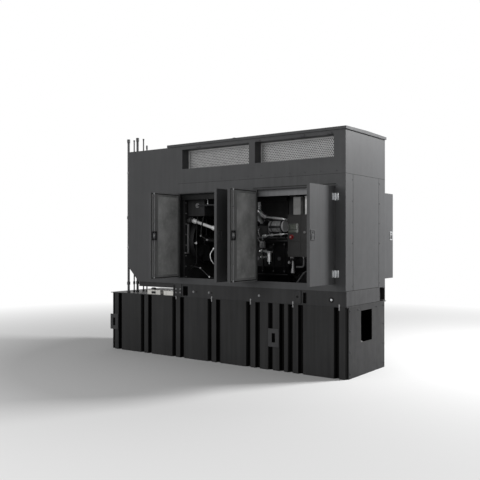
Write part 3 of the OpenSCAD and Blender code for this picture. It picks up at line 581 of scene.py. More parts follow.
class Shape:
    """Collects solid forms in one mesh, in the frame's own metres."""

    def __init__(self) -> None:
        """Starts an empty mesh."""
        self.bm = bmesh.new()

    def box(self, low: Sequence[float], high: Sequence[float], bevel: float = 0.0,
            steps: int = 2) -> "Shape":
        """Adds a block between two corners, with softened edges.

        Args:
            low: the lowest corner.
            high: the highest corner.
            bevel: radius of the edges.
            steps: segments of the edges.

        Returns:
            The shape itself.
        """
        low, high = Vector(low), Vector(high)
        size = Matrix.Diagonal((*(high - low), 1.0))
        place = Matrix.Translation((low + high) / 2) @ size
        made = bmesh.ops.create_cube(self.bm, size=1.0, matrix=place)
        if bevel > 0.0:
            edges = list(dict.fromkeys(e for v in made["verts"] for e in v.link_edges))
            bmesh.ops.bevel(self.bm, geom=edges, offset=bevel, segments=steps, affect="EDGES",
                            profile=0.5)
        return self

    def lathe(self, start: Sequence[float], way: Sequence[float],
              profile: Sequence[tuple[float, float]], sides: int = 32) -> "Shape":
        """Turns a profile about a line.

        Args:
            start: the line's start.
            way: the line's direction.
            profile: (distance along the line, radius) pairs; a radius of 0 closes the form.
            sides: segments round the line.

        Returns:
            The shape itself.
        """
        turn = Vector(way).to_track_quat("Z", "Y").to_matrix().to_4x4()
        place = Matrix.Translation(start) @ turn
        rings = []
        for along, radius in profile:
            if radius < 1e-7:
                rings.append([self.bm.verts.new(place @ Vector((0, 0, along)))])
                continue
            rings.append([
                self.bm.verts.new(place @ Vector((radius * math.cos(2 * math.pi * i / sides),
                                                  radius * math.sin(2 * math.pi * i / sides),
                                                  along)))
                for i in range(sides)
            ])
        for first, second in zip(rings, rings[1:]):
            for i in range(sides):
                j = (i + 1) % sides
                corners = [ends[k % len(ends)]
                           for ends, k in ((first, i), (first, j), (second, j), (second, i))]
                corners = list(dict.fromkeys(corners))
                if len(corners) > 2:
                    self.bm.faces.new(corners)
        for ring, turned in ((rings[0], True), (rings[-1], False)):
            if len(ring) > 2:
                self.bm.faces.new(list(reversed(ring)) if turned else ring)
        return self

    def button(self, start: Sequence[float], way: Sequence[float], radius: float, flat: float,
               height: float, top: float, sides: int = 24) -> "Shape":
        """Adds a round button with a bevelled edge.

        Args:
            start: centre of its foot.
            way: the direction in which it stands.
            radius: its radius.
            flat: height of its straight side.
            height: its whole height.
            top: radius of its top.
            sides: segments round it.

        Returns:
            The shape itself.
        """
        return self.lathe(start, way, [(0, radius), (flat, radius), (height, top), (height, 0)],
                          sides)

    def rod(self, start: Sequence[float], end: Sequence[float], radius: float, soft: float = 0.1,
            sides: int = 24) -> "Shape":
        """Adds a round bar with softened ends.

        Args:
            start: centre of one end.
            end: centre of the other end.
            radius: the bar's radius.
            soft: the softened edge as a share of the radius.
            sides: segments round the bar.

        Returns:
            The shape itself.
        """
        way = Vector(end) - Vector(start)
        length = way.length
        cut = min(soft * radius, length / 3)
        profile = [(0, radius - cut), (cut, radius), (length - cut, radius), (length, radius - cut)]
        return self.lathe(start, way, profile, sides)

    def tube(self, points: Sequence[Sequence[float]], radius: float, sides: int = 16,
             bend: float = 0.0) -> "Shape":
        """Sweeps a round section along a path with rounded corners.

        Args:
            points: the path's corners.
            radius: the section's radius.
            sides: segments round the section.
            bend: radius of the path's corners; 0 takes three section radii.

        Returns:
            The shape itself.
        """
        path = self._rounded([Vector(p) for p in points], bend or 3 * radius)
        heading = (path[1] - path[0]).normalized()
        side = heading.orthogonal().normalized()
        rings = []
        for i, place in enumerate(path):
            before = path[max(i - 1, 0)]
            after = path[min(i + 1, len(path) - 1)]
            turned = (after - before).normalized()
            side = (heading.rotation_difference(turned) @ side).normalized()
            heading = turned
            other = heading.cross(side)
            rings.append([
                self.bm.verts.new(place + radius * (math.cos(2 * math.pi * k / sides) * side
                                                    + math.sin(2 * math.pi * k / sides) * other))
                for k in range(sides)
            ])
        for first, second in zip(rings, rings[1:]):
            for k in range(sides):
                j = (k + 1) % sides
                self.bm.faces.new([first[k], first[j], second[j], second[k]])
        self.bm.faces.new(list(reversed(rings[0])))
        self.bm.faces.new(rings[-1])
        return self

    @staticmethod
    def _rounded(corners: list[Vector], bend: float) -> list[Vector]:
        """Rounds the corners of a path.

        Args:
            corners: the path's corners.
            bend: the corner radius.

        Returns:
            The denser path.
        """
        path = [corners[0]]
        for before, corner, after in zip(corners, corners[1:], corners[2:]):
            back, on = before - corner, after - corner
            reach = min(bend, back.length * 0.48, on.length * 0.48)
            first, last = corner + back.normalized() * reach, corner + on.normalized() * reach
            for k in range(7):
                t = k / 6
                path.append(first * (1 - t) ** 2 + corner * 2 * t * (1 - t) + last * t ** 2)
        path.append(corners[-1])
        return path

    def prism(self, outline: Sequence[tuple[float, float]], axis: Axis, low: float,
              high: float) -> "Shape":
        """Draws an outline out along one axis.

        Args:
            outline: corners in the other two axes, in the frame's order.
            axis: the direction of the prism.
            low: its start along the axis.
            high: its end along the axis.

        Returns:
            The shape itself.
        """
        def corner(pair: tuple[float, float], along: float) -> Vector:
            """Returns a corner of the prism."""
            return Vector((*pair[:axis.value], along, *pair[axis.value:]))

        first = [self.bm.verts.new(corner(p, low)) for p in outline]
        last = [self.bm.verts.new(corner(p, high)) for p in outline]
        faces = [self.bm.faces.new(first), self.bm.faces.new(list(reversed(last)))]
        for i in range(len(outline)):
            j = (i + 1) % len(outline)
            faces.append(self.bm.faces.new([first[j], first[i], last[i], last[j]]))
        bmesh.ops.recalc_face_normals(self.bm, faces=faces)
        return self

    def frame_plate(self, low: Sequence[float], high: Sequence[float], border: float, axis: Axis,
                    bevel: float = 0.0) -> "Shape":
        """Adds a flat frame from four bars.

        Args:
            low: the frame's lowest corner.
            high: the frame's highest corner.
            border: width of the bars.
            axis: the direction through the frame's opening.
            bevel: radius of the bars' edges.

        Returns:
            The shape itself.
        """
        one, two = [a.value for a in Axis if a is not axis]
        for place, inset in ((one, False), (two, True)):
            other = two if place == one else one
            for at_high in (False, True):
                a, b = list(low), list(high)
                if at_high:
                    a[place] = high[place] - border
                else:
                    b[place] = low[place] + border
                if inset:
                    a[other] += border
                    b[other] -= border
                self.box(a, b, bevel)
        return self

    def mesh(self, name: str) -> bpy.types.Mesh:
        """Closes the shape as a mesh.

        Args:
            name: the mesh's name.

        Returns:
            The mesh.
        """
        bmesh.ops.recalc_face_normals(self.bm, faces=self.bm.faces)
        made = bpy.data.meshes.new(name)
        self.bm.to_mesh(made)
        self.bm.free()
        return softened(made)


def softened(mesh: bpy.types.Mesh) -> bpy.types.Mesh:
    """Shades a mesh smooth, apart from its sharp edges.

    Args:
        mesh: the mesh.

    Returns:
        The same mesh.
    """
    mesh.shade_smooth()
    mesh.set_sharp_from_angle(angle=math.radians(SMOOTH_DEG))
    return mesh


def add_piece(name: str, shape: "Shape | bpy.types.Mesh", finish: Finish, slot: Slot,
              body: str = PLANT, stands_for: Sequence[str] = ()) -> None:
    """Makes a piece of the object and lets it ride on a body.

    Args:
        name: the piece's name.
        shape: its shape or mesh, already in place.
        finish: its finish.
        slot: the record's material slot; not used.
        body: the CAD body that it rides on.
        stands_for: CAD nodes that it replaces.
    """
    mesh = shape.mesh(name) if isinstance(shape, Shape) else shape
    made = bpy.data.objects.new(name, mesh)
    mesh.materials.clear()
    mesh.materials.append(finish.material())
    bpy.context.scene.collection.objects.link(made)
    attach(made, body)
    if stands_for:
        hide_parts(*stands_for)
    LOG.info("%s: %d faces on %s", name, len(mesh.polygons), body)


def dress_nodes(finish: Finish, *names: str) -> None:
    """Gives CAD nodes a finish.

    Args:
        finish: the finish.
        names: the nodes.
    """
    for name in names:
        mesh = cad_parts[name].data
        mesh.materials.clear()
        mesh.materials.append(finish.material())
        LOG.info("%s: %s", name, finish.name)


class Repeat:
    """Geometry Nodes that set a small form on every point of a pattern."""

    @staticmethod
    def _new_tree(name: str, inputs: dict[str, str]) -> NodeGraph:
        """Starts a node group that takes a carrier, a form, more inputs and a finish.

        Args:
            name: the node group's name.
            inputs: kinds of the other inputs by name.

        Returns:
            The graph of the new group.
        """
        tree = bpy.data.node_groups.new(name, "GeometryNodeTree")
        ends = {"Form": "Object", **inputs, "Finish": "Material"}
        for way, sockets in (("INPUT", {"Geometry": "Geometry", **ends}),
                             ("OUTPUT", {"Geometry": "Geometry"})):
            for socket, kind in sockets.items():
                tree.interface.new_socket(socket, in_out=way, socket_type="NodeSocket" + kind)
        return NodeGraph(tree)

    @staticmethod
    def _set_forms(graph: NodeGraph, points: Socket, given: bpy.types.NodeOutputs,
                   merge: Optional[Socket] = None) -> None:
        """Sets the form on points, makes the copies real and gives them their finish.

        Args:
            graph: the node group's graph.
            points: the points.
            given: the group's inputs.
            merge: distance under which points of the copies are joined.
        """
        form = graph.node("GeometryNodeObjectInfo", {"Object": given["Form"]}).outputs["Geometry"]
        many = graph.node("GeometryNodeInstanceOnPoints",
                          {"Points": points, "Instance": form}).outputs[0]
        real = graph.node("GeometryNodeRealizeInstances", {"Geometry": many}).outputs[0]
        if merge:
            real = graph.node("GeometryNodeMergeByDistance",
                              {"Geometry": real, "Distance": merge}).outputs[0]
        done = graph.node("GeometryNodeSetMaterial",
                          {"Geometry": real, "Material": given["Finish"]}).outputs[0]
        graph.node("NodeGroupOutput", {0: done})

    @classmethod
    def _grid_tree(cls) -> bpy.types.NodeTree:
        """Builds the tree for columns and rows, once.

        Returns:
            The node group, which sets a form on each point of the pattern.
        """
        known = bpy.data.node_groups.get("repeat_on_points")
        if known:
            return known
        graph = cls._new_tree("repeat_on_points", {
            "Columns": "Int", "Rows": "Int", "Column step": "Vector", "Row step": "Vector",
            "Stagger": "Float", "Merge": "Float"})
        given = graph.node("NodeGroupInput").outputs
        count = graph.math("MULTIPLY", given["Columns"], given["Rows"])
        line = graph.node("GeometryNodePoints", {"Count": count}).outputs[0]
        index = graph.node("GeometryNodeInputIndex").outputs[0]
        row = graph.math("FLOOR",
                         graph.math("DIVIDE", graph.math("ADD", index, 0.5), given["Columns"]))
        column = graph.math("SUBTRACT", index, graph.math("MULTIPLY", row, given["Columns"]))
        odd = graph.math("MULTIPLY", graph.math("MODULO", row, 2.0), given["Stagger"])
        steps = [graph.node("ShaderNodeVectorMath", {0: given[step], 3: times},
                            operation="SCALE").outputs[0]
                 for step, times in (("Column step", graph.math("ADD", column, odd)),
                                     ("Row step", row))]
        place = graph.node("ShaderNodeVectorMath", {0: steps[0], 1: steps[1]},
                           operation="ADD").outputs[0]
        laid = graph.node("GeometryNodeSetPosition",
                          {"Geometry": line, "Position": place}).outputs[0]
        cls._set_forms(graph, laid, given, given["Merge"])
        return graph.tree

    @classmethod
    def _places_tree(cls) -> bpy.types.NodeTree:
        """Builds the tree for free places, once.

        Returns:
            The node group, which sets a form on each point of the carrier.
        """
        known = bpy.data.node_groups.get("set_on_places")
        if known:
            return known
        graph = cls._new_tree("set_on_places", {})
        given = graph.node("NodeGroupInput").outputs
        cls._set_forms(graph, given["Geometry"], given)
        return graph.tree

    @classmethod
    def _plain(cls, carrier: bpy.types.Mesh, tree: bpy.types.NodeTree, form: Shape,
               values: dict) -> bpy.types.Mesh:
        """Runs a tree on a carrier and returns the plain result.

        Args:
            carrier: the mesh that the tree starts from.
            tree: the node group.
            form: the form that is repeated.
            values: the tree's other inputs by name.

        Returns:
            A plain mesh of all copies.
        """
        seed = bpy.data.objects.new("repeat_form", form.mesh("repeat_form"))
        holder = bpy.data.objects.new("repeat_carrier", carrier)
        for made in (seed, holder):
            bpy.context.scene.collection.objects.link(made)
        modifier = holder.modifiers.new("repeat", "NODES")
        modifier.node_group = tree
        sockets = {s.name: s.identifier for s in tree.interface.items_tree if s.in_out == "INPUT"}
        for name, value in {"Form": seed, **values}.items():
            modifier[sockets[name]] = value
        bpy.context.view_layer.update()
        ready = holder.evaluated_get(bpy.context.evaluated_depsgraph_get())
        mesh = bpy.data.meshes.new_from_object(ready)
        holder.modifiers.remove(modifier)
        for made in (holder, seed):
            bpy.data.objects.remove(made)
        return softened(mesh)

    @classmethod
    def grid(cls, form: Shape, finish: Finish, columns: int, rows: int,
             column_step: Sequence[float], row_step: Sequence[float], stagger: float = 0.0,
             merge: float = 0.0) -> bpy.types.Mesh:
        """Lays a form out in columns and rows.

        Args:
            form: the form at the pattern's first place.
            finish: the finish of the copies.
            columns: copies in a row.
            rows: number of rows.
            column_step: step from column to column.
            row_step: step from row to row.
            stagger: shift of every second row, in column steps.
            merge: distance under which points are joined.

        Returns:
            A plain mesh of all copies.
        """
        values = {"Columns": columns, "Rows": rows, "Column step": tuple(column_step),
                  "Row step": tuple(row_step), "Stagger": stagger, "Merge": merge,
                  "Finish": finish.material()}
        return cls._plain(bpy.data.meshes.new("repeat_carrier"), cls._grid_tree(), form, values)

    @classmethod
    def at(cls, form: Callable[[Shape], Shape], finish: Finish,
           places: Iterable[Sequence[float]]) -> bpy.types.Mesh:
        """Sets a form, drawn about the origin, on free places.

        Args:
            form: draws the form in an empty shape.
            finish: the finish of the copies.
            places: where the copies stand.

        Returns:
            A plain mesh of all copies.
        """
        carrier = bpy.data.meshes.new("repeat_carrier")
        carrier.from_pydata([tuple(p) for p in places], [], [])
        return cls._plain(carrier, cls._places_tree(), form(Shape()), {"Finish": finish.material()})


def join_meshes(name: str, meshes: Sequence[bpy.types.Mesh]) -> bpy.types.Mesh:
    """Joins meshes into one.

    Args:
        name: the new mesh's name.
        meshes: the meshes, which are removed.

    Returns:
        The joined mesh.
    """
    joined = bmesh.new()
    for mesh in meshes:
        joined.from_mesh(mesh)
        bpy.data.meshes.remove(mesh)
    made = bpy.data.meshes.new(name)
    joined.to_mesh(made)
    joined.free()
    return softened(made)


def mirrored_y(mesh: bpy.types.Mesh, name: str) -> bpy.types.Mesh:
    """Copies a mesh to the other side of the middle plane.

    Args:
        mesh: the mesh on the front.
        name: the copy's name.

    Returns:
        The mirrored copy, with its faces outwards.
    """
    made = bmesh.new()
    made.from_mesh(mesh)
    for vert in made.verts:
        vert.co.y = -vert.co.y
    bmesh.ops.reverse_faces(made, faces=made.faces)
    copy = bpy.data.meshes.new(name)
    made.to_mesh(copy)
    made.free()
    return copy


def bolt_head(towards: Point, size: float) -> Callable[[Shape], Shape]:
    """Makes a drawer of a hexagon bolt head on a washer.

    Args:
        towards: the direction in which the head stands.
        size: width of the head across its corners.

    Returns:
        A function that draws the bolt at the origin.
    """
    def draw(shape: Shape) -> Shape:
        """Draws the washer and the head.

        Args:
            shape: the shape that takes them.

        Returns:
            The shape.
        """
        radius = size / 2
        washer = [(0, radius * 1.5), (size * 0.1, radius * 1.5), (size * 0.14, radius * 1.4)]
        head = [(size * 0.12, radius * 0.96), (size * 0.17, radius), (size * 0.46, radius),
                (size * 0.55, radius * 0.8)]
        return shape.lathe((0, 0, 0), towards, washer, 20).lathe((0, 0, 0), towards, head, 6)

    return draw


def add_pair(name: str, shape: "Shape | bpy.types.Mesh", finish: Finish, slot: Slot) -> None:
    """Adds a piece of the front together with its mirrored copy on the rear.

    Args:
        name: the piece's name.
        shape: its shape or mesh on the front.
        finish: its finish.
        slot: the record's material slot.
    """
    front = shape.mesh(name) if isinstance(shape, Shape) else shape
    both = join_meshes(name, [front, mirrored_y(front, name + "_rear")])
    add_piece(name, both, finish, slot)


def add_bolts(name: str, towards: Point, size: float, finish: Finish, slot: Slot,
              places: Iterable[Sequence[float]], pair: bool = False) -> None:
    """Adds bolt heads of one size as one piece of the plant.

    Args:
        name: the piece's name.
        towards: the direction in which the heads stand.
        size: width of a head across its corners.
        finish: their finish.
        slot: the record's material slot.
        places: where the bolts stand.
        pair: whether mirrored copies stand on the rear.
    """
    mesh = Repeat.at(bolt_head(towards, size), finish, places)
    (add_pair if pair else add_piece)(name, mesh, finish, slot)


def ring(shape: Shape, place: Point, way: Point, inner: float, outer: float, length: float,
         sides: int = 28) -> Shape:
    """Adds a collar with softened edges round a pipe.

    Args:
        shape: the shape that takes the collar.
        place: the collar's start on the pipe's axis.
        way: the direction of the axis.
        inner: the pipe's radius.
        outer: the collar's radius.
        length: the collar's length.
        sides: segments round the collar.

    Returns:
        The shape.
    """
    soft = min((outer - inner) * 0.4, length * 0.2)
    return shape.lathe(place, way,
                       [(0, inner), (0, outer - soft), (soft, outer), (length - soft, outer),
                        (length, outer - soft), (length, inner)], sides)


def about(u: float, v: float, outline: Sequence[tuple[float, float]]) -> list[tuple[float, float]]:
    """Moves an outline, drawn about the origin, to a place."""
    return [(u + du, v + dv) for du, dv in outline]


def mid(ends: Sequence[float]) -> float:
    """Returns the middle of two values."""
    return (ends[0] + ends[1]) / 2


@dataclass(frozen=True)
class DoorFittings:
    """Sizes of the leaves' hinges and handles, in metres.

    Attributes:
        plate_h: height of a hinge plate.
        plate_t: thickness of a hinge plate.
        wall_plate: where the wall's plate starts and ends, from the jamb.
        wall_bolt_x: places of its bolts, from the jamb.
        bolt_z: places of the bolts over a plate's foot.
        bolt: size of the bolt heads.
        knuckle: inner and outer radius of the knuckle's sleeve.
        pin_off: distance of the hinge pin in front of the wall.
        pan: half the width and half the height of the handle's pan.
        pan_edge: width of the pan's border.
        flap: half the width, the foot and the top of the handle's flap, from the pan's middle.
        lock_z: place of the lock over the pan's middle.
    """

    plate_h: float = 0.114
    plate_t: float = 0.009
    wall_plate: tuple[float, float] = (0.010, 0.062)
    wall_bolt_x: tuple[float, float] = (0.028, 0.048)
    bolt_z: tuple[float, float] = (0.022, 0.092)
    bolt: float = 0.009
    knuckle: tuple[float, float] = (0.0085, 0.0097)
    pin_off: float = 0.012
    pan: tuple[float, float] = (0.058, 0.080)
    pan_edge: float = 0.016
    flap: tuple[float, float, float] = (0.034, -0.052, 0.018)
    lock_z: float = 0.042

    def draw_pan(self, pan: Shape, x: float, z: float, faces: tuple[float, float],
                 soft: float) -> None:
        """Draws the border of a handle's pan.

        Args:
            pan: the shape that takes it.
            x: the handle's place along X.
            z: the handle's middle height.
            faces: the border's two faces along Y.
            soft: radius of its edges.
        """
        half, tall = self.pan
        pan.frame_plate((x - half, faces[0], z - tall), (x + half, faces[1], z + tall),
                        self.pan_edge, Axis.Y, soft)

    def draw_grip(self, grip: Shape, x: float, z: float, faces: tuple[float, float], bar: float,
                  way: Point, soft: float) -> None:
        """Draws a handle's flap with its rolled edge and its lock.

        Args:
            grip: the shape that takes them.
            x: the handle's place along X.
            z: the handle's middle height.
            faces: the flap's two faces along Y.
            bar: the rolled edge's place along Y.
            way: the direction outwards.
            soft: radius of the flap's edges.
        """
        half, foot, top = self.flap
        grip.box((x - half, faces[0], z + foot), (x + half, faces[1], z + top), soft)
        grip.rod((x - half, bar, z + foot), (x + half, bar, z + foot), 0.0045, 0.2, 16)
        root = faces[1] if way == FORE else faces[0]
        grip.button((x, root, z + self.lock_z), way, 0.013, 0.005, 0.0065, 0.010, 24)

    def bolts(self, place: Callable[[float], tuple[float, float]], across: Sequence[float],
              z: float) -> list[Point]:
        """Lists the bolts of one hinge plate.

        Args:
            place: gives X and Y for a distance across the plate.
            across: distances of the bolts across the plate.
            z: the plate's foot.

        Returns:
            The bolts' places.
        """
        return [(*place(dx), z + dz) for dx in across for dz in self.bolt_z]


FITTINGS = DoorFittings()


@dataclass(frozen=True)
class Levels:
    """Main planes of the frame, read from the CAD nodes, in metres.

    Attributes:
        half_w: distance of the front and rear faces from the middle.
        tank_x: left and right end of the tank.
        tank_z: top of the tank.
        skid_x: left and right end of the skid rails.
        encl_z: foot of the enclosure's walls.
        encl_x: left and right end of the enclosure.
        top_z: top of the walls.
        seam_z: joint between the lower and upper walls.
        door_z: foot and top of the doorways.
        doors: (left jamb, right jamb) of the left and of the right doorway.
    """

    half_w: float
    tank_x: tuple[float, float]
    tank_z: float
    skid_x: tuple[float, float]
    encl_z: float
    encl_x: tuple[float, float]
    top_z: float
    seam_z: float
    door_z: tuple[float, float]
    doors: tuple[tuple[float, float], tuple[float, float]]

    @classmethod
    def read(cls) -> "Levels":
        """Reads the planes from the CAD nodes' boxes.

        Returns:
            The planes.
        """
        tank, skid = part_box("tank_top"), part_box("skid_rails")
        sill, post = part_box("door_sills"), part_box("door_posts")
        hood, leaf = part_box("hood_side_walls"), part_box("front_door_1_left")
        door_w = post[0].x - sill[0].x
        return cls(
            half_w=tank[1].y,
            tank_x=(tank[0].x, tank[1].x),
            tank_z=tank[1].z,
            skid_x=(skid[0].x, skid[1].x),
            encl_z=sill[0].z,
            encl_x=(hood[0].x, skid[1].x),
            top_z=hood[1].z,
            seam_z=post[1].z,
            door_z=(sill[1].z, leaf[1].z + leaf[0].z - sill[1].z),
            doors=((sill[0].x, post[0].x), (sill[1].x - door_w, sill[1].x)),
        )


@dataclass
class FuelTank:
    """The ribbed tank, its cable window and the boxes and pipes on its top.

    Attributes:
        at: the main planes.
        clip_w: width of the clips that tie the skid to the ribs.
        clip_h: height of the clips.
        clip_t: thickness of the clips.
        rib_edges: left edges of the rib faces.
        bolt: size of the bolt heads on the end plate.
        pipe_r: radii of the vent pipes, from the front.
        pipe_top: levels of the vent pipes' tops.
        pipe_y: distances of the vent pipes from the front face.
        pipe_capped: which of the vent pipes end in a cap.
        coupling_z: levels of the pipes' couplings.
        bracket_z: levels of the brackets that tie the pipes to the hood.
        window: the cable window's front side along Y and the level of its sill.
        stiffener_y: places of the stiffeners behind the window.
    """

    at: Levels
    clip_w: float = 0.022
    clip_h: float = 0.098
    clip_t: float = 0.008
    rib_edges: tuple[float, ...] = (2.540, 1.682, 0.824, -0.036, -0.892)
    bolt: float = 0.022
    pipe_r: tuple[float, ...] = (0.024, 0.0135, 0.024, 0.0135, 0.0135)
    pipe_top: tuple[float, ...] = (4.230, 4.230, 4.292, 4.292, 4.168)
    pipe_y: tuple[float, ...] = (0.109, 0.265, 0.361, 0.532, 0.632)
    pipe_capped: tuple[bool, ...] = (True, False, True, False, True)
    coupling_z: tuple[float, ...] = (1.30, 2.62)
    bracket_z: tuple[float, ...] = (2.05, 3.55)
    window: tuple[float, float] = (-0.2425, 0.535)
    stiffener_y: tuple[float, ...] = (-0.13, -0.02, 0.11)

    def dress(self) -> None:
        """Paints the tank's nodes."""
        dress_nodes(Palette.TANK, "tank_panels", "tank_ribs")
        dress_nodes(Palette.TANK_END, "tank_top", "stub_up_panel", "tank_left_end", "tank_floor")
        dress_nodes(Palette.SKID_END, "lift_plates")
        dress_nodes(Palette.SHADED_SHELL, "tank_side_walls", "tank_bulkhead")
        dress_nodes(Palette.CREAM, "fill_box", "gauge_box")
        dress_nodes(Palette.PIPE, "vent_pipes")

    def build(self) -> None:
        """Adds clips, bolts, the window's lining and the fittings."""
        self._clips()
        self._end_bolts()
        self._window()
        self._box_fittings()
        self._pipe_fittings()

    def _clips(self) -> None:
        """Adds the steel clips between the ribs' tops and the skid rail, front and rear."""
        def clip(shape: Shape) -> Shape:
            """Draws one clip about the tank's top edge.

            Args:
                shape: the shape that takes it.

            Returns:
                The shape.
            """
            w, h, t = self.clip_w / 2, self.clip_h, self.clip_t
            shape.box((-w, -t, -h * 0.6), (w, 0, h * 0.4), 0.002)
            return shape.box((-w, -t * 2.0, -h * 0.1), (w, -t * 0.5, h * 0.05), 0.002)

        places = [(x, -self.at.half_w, self.at.tank_z) for x in self.rib_edges]
        front = Repeat.at(clip, Palette.GREY_CAST, places)
        add_pair("skid_clips", front, Palette.GREY_CAST, Slot.LATCH)

    def _end_bolts(self) -> None:
        """Adds the bolts round the end plate."""
        low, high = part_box("stub_up_panel")
        places = [(high.x, y, z) for y in (low.y + 0.05, high.y - 0.05)
                  for z in (0.08, 0.42, 0.76, high.z - 0.06)]
        places += [(high.x, y, high.z - 0.06) for y in (-0.34, 0.34)]
        add_bolts("end_plate_bolts", RIGHT, self.bolt, Palette.DARK_STEEL, Slot.TANK, places)

    def _window(self) -> None:
        """Adds the tray on the cable window's sill and the stiffeners behind it."""
        x = self.at.tank_x[1]
        tray = Shape()
        fold = ((0.001, 0.001), (0.105, 0.001), (0.105, 0.006), (0.060, 0.012), (0.004, 0.042),
                (0.001, 0.042))
        tray.prism(about(*self.window, fold), Axis.X, x - 0.10, x - 0.012)
        # Painted light: the tray's pale tone stands for light on the window's folded lip.
        add_piece("window_tray", tray, Palette.PALE, Slot.TANK)
        bars = Shape()
        channel = ((-0.30, -0.03), (-0.30, 0.03), (-0.345, 0.03), (-0.345, 0.024), (-0.306, 0.024),
                   (-0.306, -0.024), (-0.345, -0.024), (-0.345, -0.03))
        for y in self.stiffener_y:
            bars.prism(about(x, y, channel), Axis.Z, 0.30, self.at.tank_z - 0.012)
        add_piece("bay_stiffeners", bars, Palette.TANK_END, Slot.TANK)

    def _box_fittings(self) -> None:
        """Adds the latch plate, the hinges, the gauge and the filler's cap on the two boxes."""
        dark, steel = Shape(), Shape()
        for name in ("fill_box", "gauge_box"):
            low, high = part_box(name)
            for x in (low.x + 0.05, high.x - 0.05):
                steel.rod((x - 0.02, high.y - 0.004, low.z + 0.076),
                          (x + 0.02, high.y - 0.004, low.z + 0.076), 0.006)
        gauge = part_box("gauge_box")
        x, y, z = (gauge[0].x + gauge[1].x) / 2, (gauge[0].y + gauge[1].y) / 2, gauge[1].z
        steel.lathe((x, y, z), UP,
                    [(0, 0.05), (0.012, 0.05), (0.016, 0.044), (0.016, 0.038), (0.010, 0.037),
                     (0.010, 0.0)], 32)
        low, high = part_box("fill_box")
        x, front = (low.x + high.x) / 2 - 0.004, low.y + 0.008
        dark.box((x - 0.052, front - 0.004, low.z + 0.018), (x + 0.052, front, low.z + 0.062),
                 0.002)
        dark.frame_plate((x - 0.052, front - 0.008, low.z + 0.018),
                         (x + 0.052, front - 0.003, low.z + 0.062), 0.008, Axis.Y, 0.002)
        dark.rod((x - 0.02, front - 0.008, low.z + 0.04), (x + 0.02, front - 0.008, low.z + 0.04),
                 0.006)
        add_piece("box_latch", dark, Palette.PLASTIC, Slot.PIPE)
        add_piece("box_hinges", steel, Palette.STEEL, Slot.LATCH)
        cap = Shape()
        reach = (high.x - low.x - 0.016) / 4
        x, y = low.x + 0.008 + reach, low.y + 0.008 + reach
        for k in range(10):
            a = 2 * math.pi * k / 10
            grip = (x + 0.042 * math.cos(a), y + 0.042 * math.sin(a))
            cap.rod((*grip, high.z - 0.03), (*grip, high.z - 0.004), 0.006, 0.3, 10)
        cap.lathe((x, y, high.z - 0.032), UP,
                  [(0, 0.0425), (0.028, 0.0425), (0.034, 0.040), (0.038, 0.032), (0.038, 0.0)], 36)
        add_piece("filler_cap_grips", cap, Palette.DARK_STEEL, Slot.PIPE)

    def _pipe_fittings(self) -> None:
        """Builds the vent pipes with caps and couplings, and their brackets on the hood."""
        low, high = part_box("vent_pipes")
        x, wall = (low.x + high.x) / 2, self.at.encl_x[0]
        pipes, bracket = Shape(), Shape()
        ys = [-self.at.half_w + d for d in self.pipe_y]
        for y, r, top, capped in zip(ys, self.pipe_r, self.pipe_top, self.pipe_capped):
            if capped:
                profile = [(0, r), (top - 0.080, r), (top - 0.080, r + 0.004),
                           (top - 0.066, r + 0.005), (top - 0.066, r * 1.30),
                           (top - 0.012, r * 1.33), (top - 0.003, r * 1.15), (top, r * 0.6),
                           (top, 0.0)]
            else:
                profile = [(0, r), (top - 0.03, r), (top - 0.03, r + 0.004), (top, r + 0.004),
                           (top, r - 0.003), (top - 0.05, r - 0.003), (top - 0.05, 0.0)]
            pipes.lathe((x, y, low.z), UP,
                        [(max(0.0, along - low.z), radius) for along, radius in profile], 28)
            for z in self.coupling_z:
                ring(pipes, (x, y, z), UP, r, r + 0.009, 0.06, 24)
            ring(pipes, (x, y, low.z), UP, r, r + 0.012, 0.03, 6)
        for z in self.bracket_z:
            bracket.box((x + 0.03, ys[0] - 0.06, z - 0.02), (x + 0.036, ys[-1] + 0.06, z + 0.02),
                        0.001)
            for y in (ys[0] - 0.045, ys[-1] + 0.045):
                bracket.box((x + 0.036, y - 0.015, z - 0.02), (wall, y + 0.015, z + 0.02), 0.001)
            for y, r in zip(ys, self.pipe_r):
                ring(bracket, (x, y, z - 0.012), UP, r, r + 0.006, 0.024, 24)
                bracket.box((x + r, y - 0.006, z - 0.01), (x + 0.032, y + 0.006, z + 0.01))
        add_piece("vent_pipe_runs", pipes, Palette.PIPE, Slot.PIPE, stands_for=("vent_pipes",))
        add_piece("pipe_brackets", bracket, Palette.DULL_STEEL, Slot.LATCH)


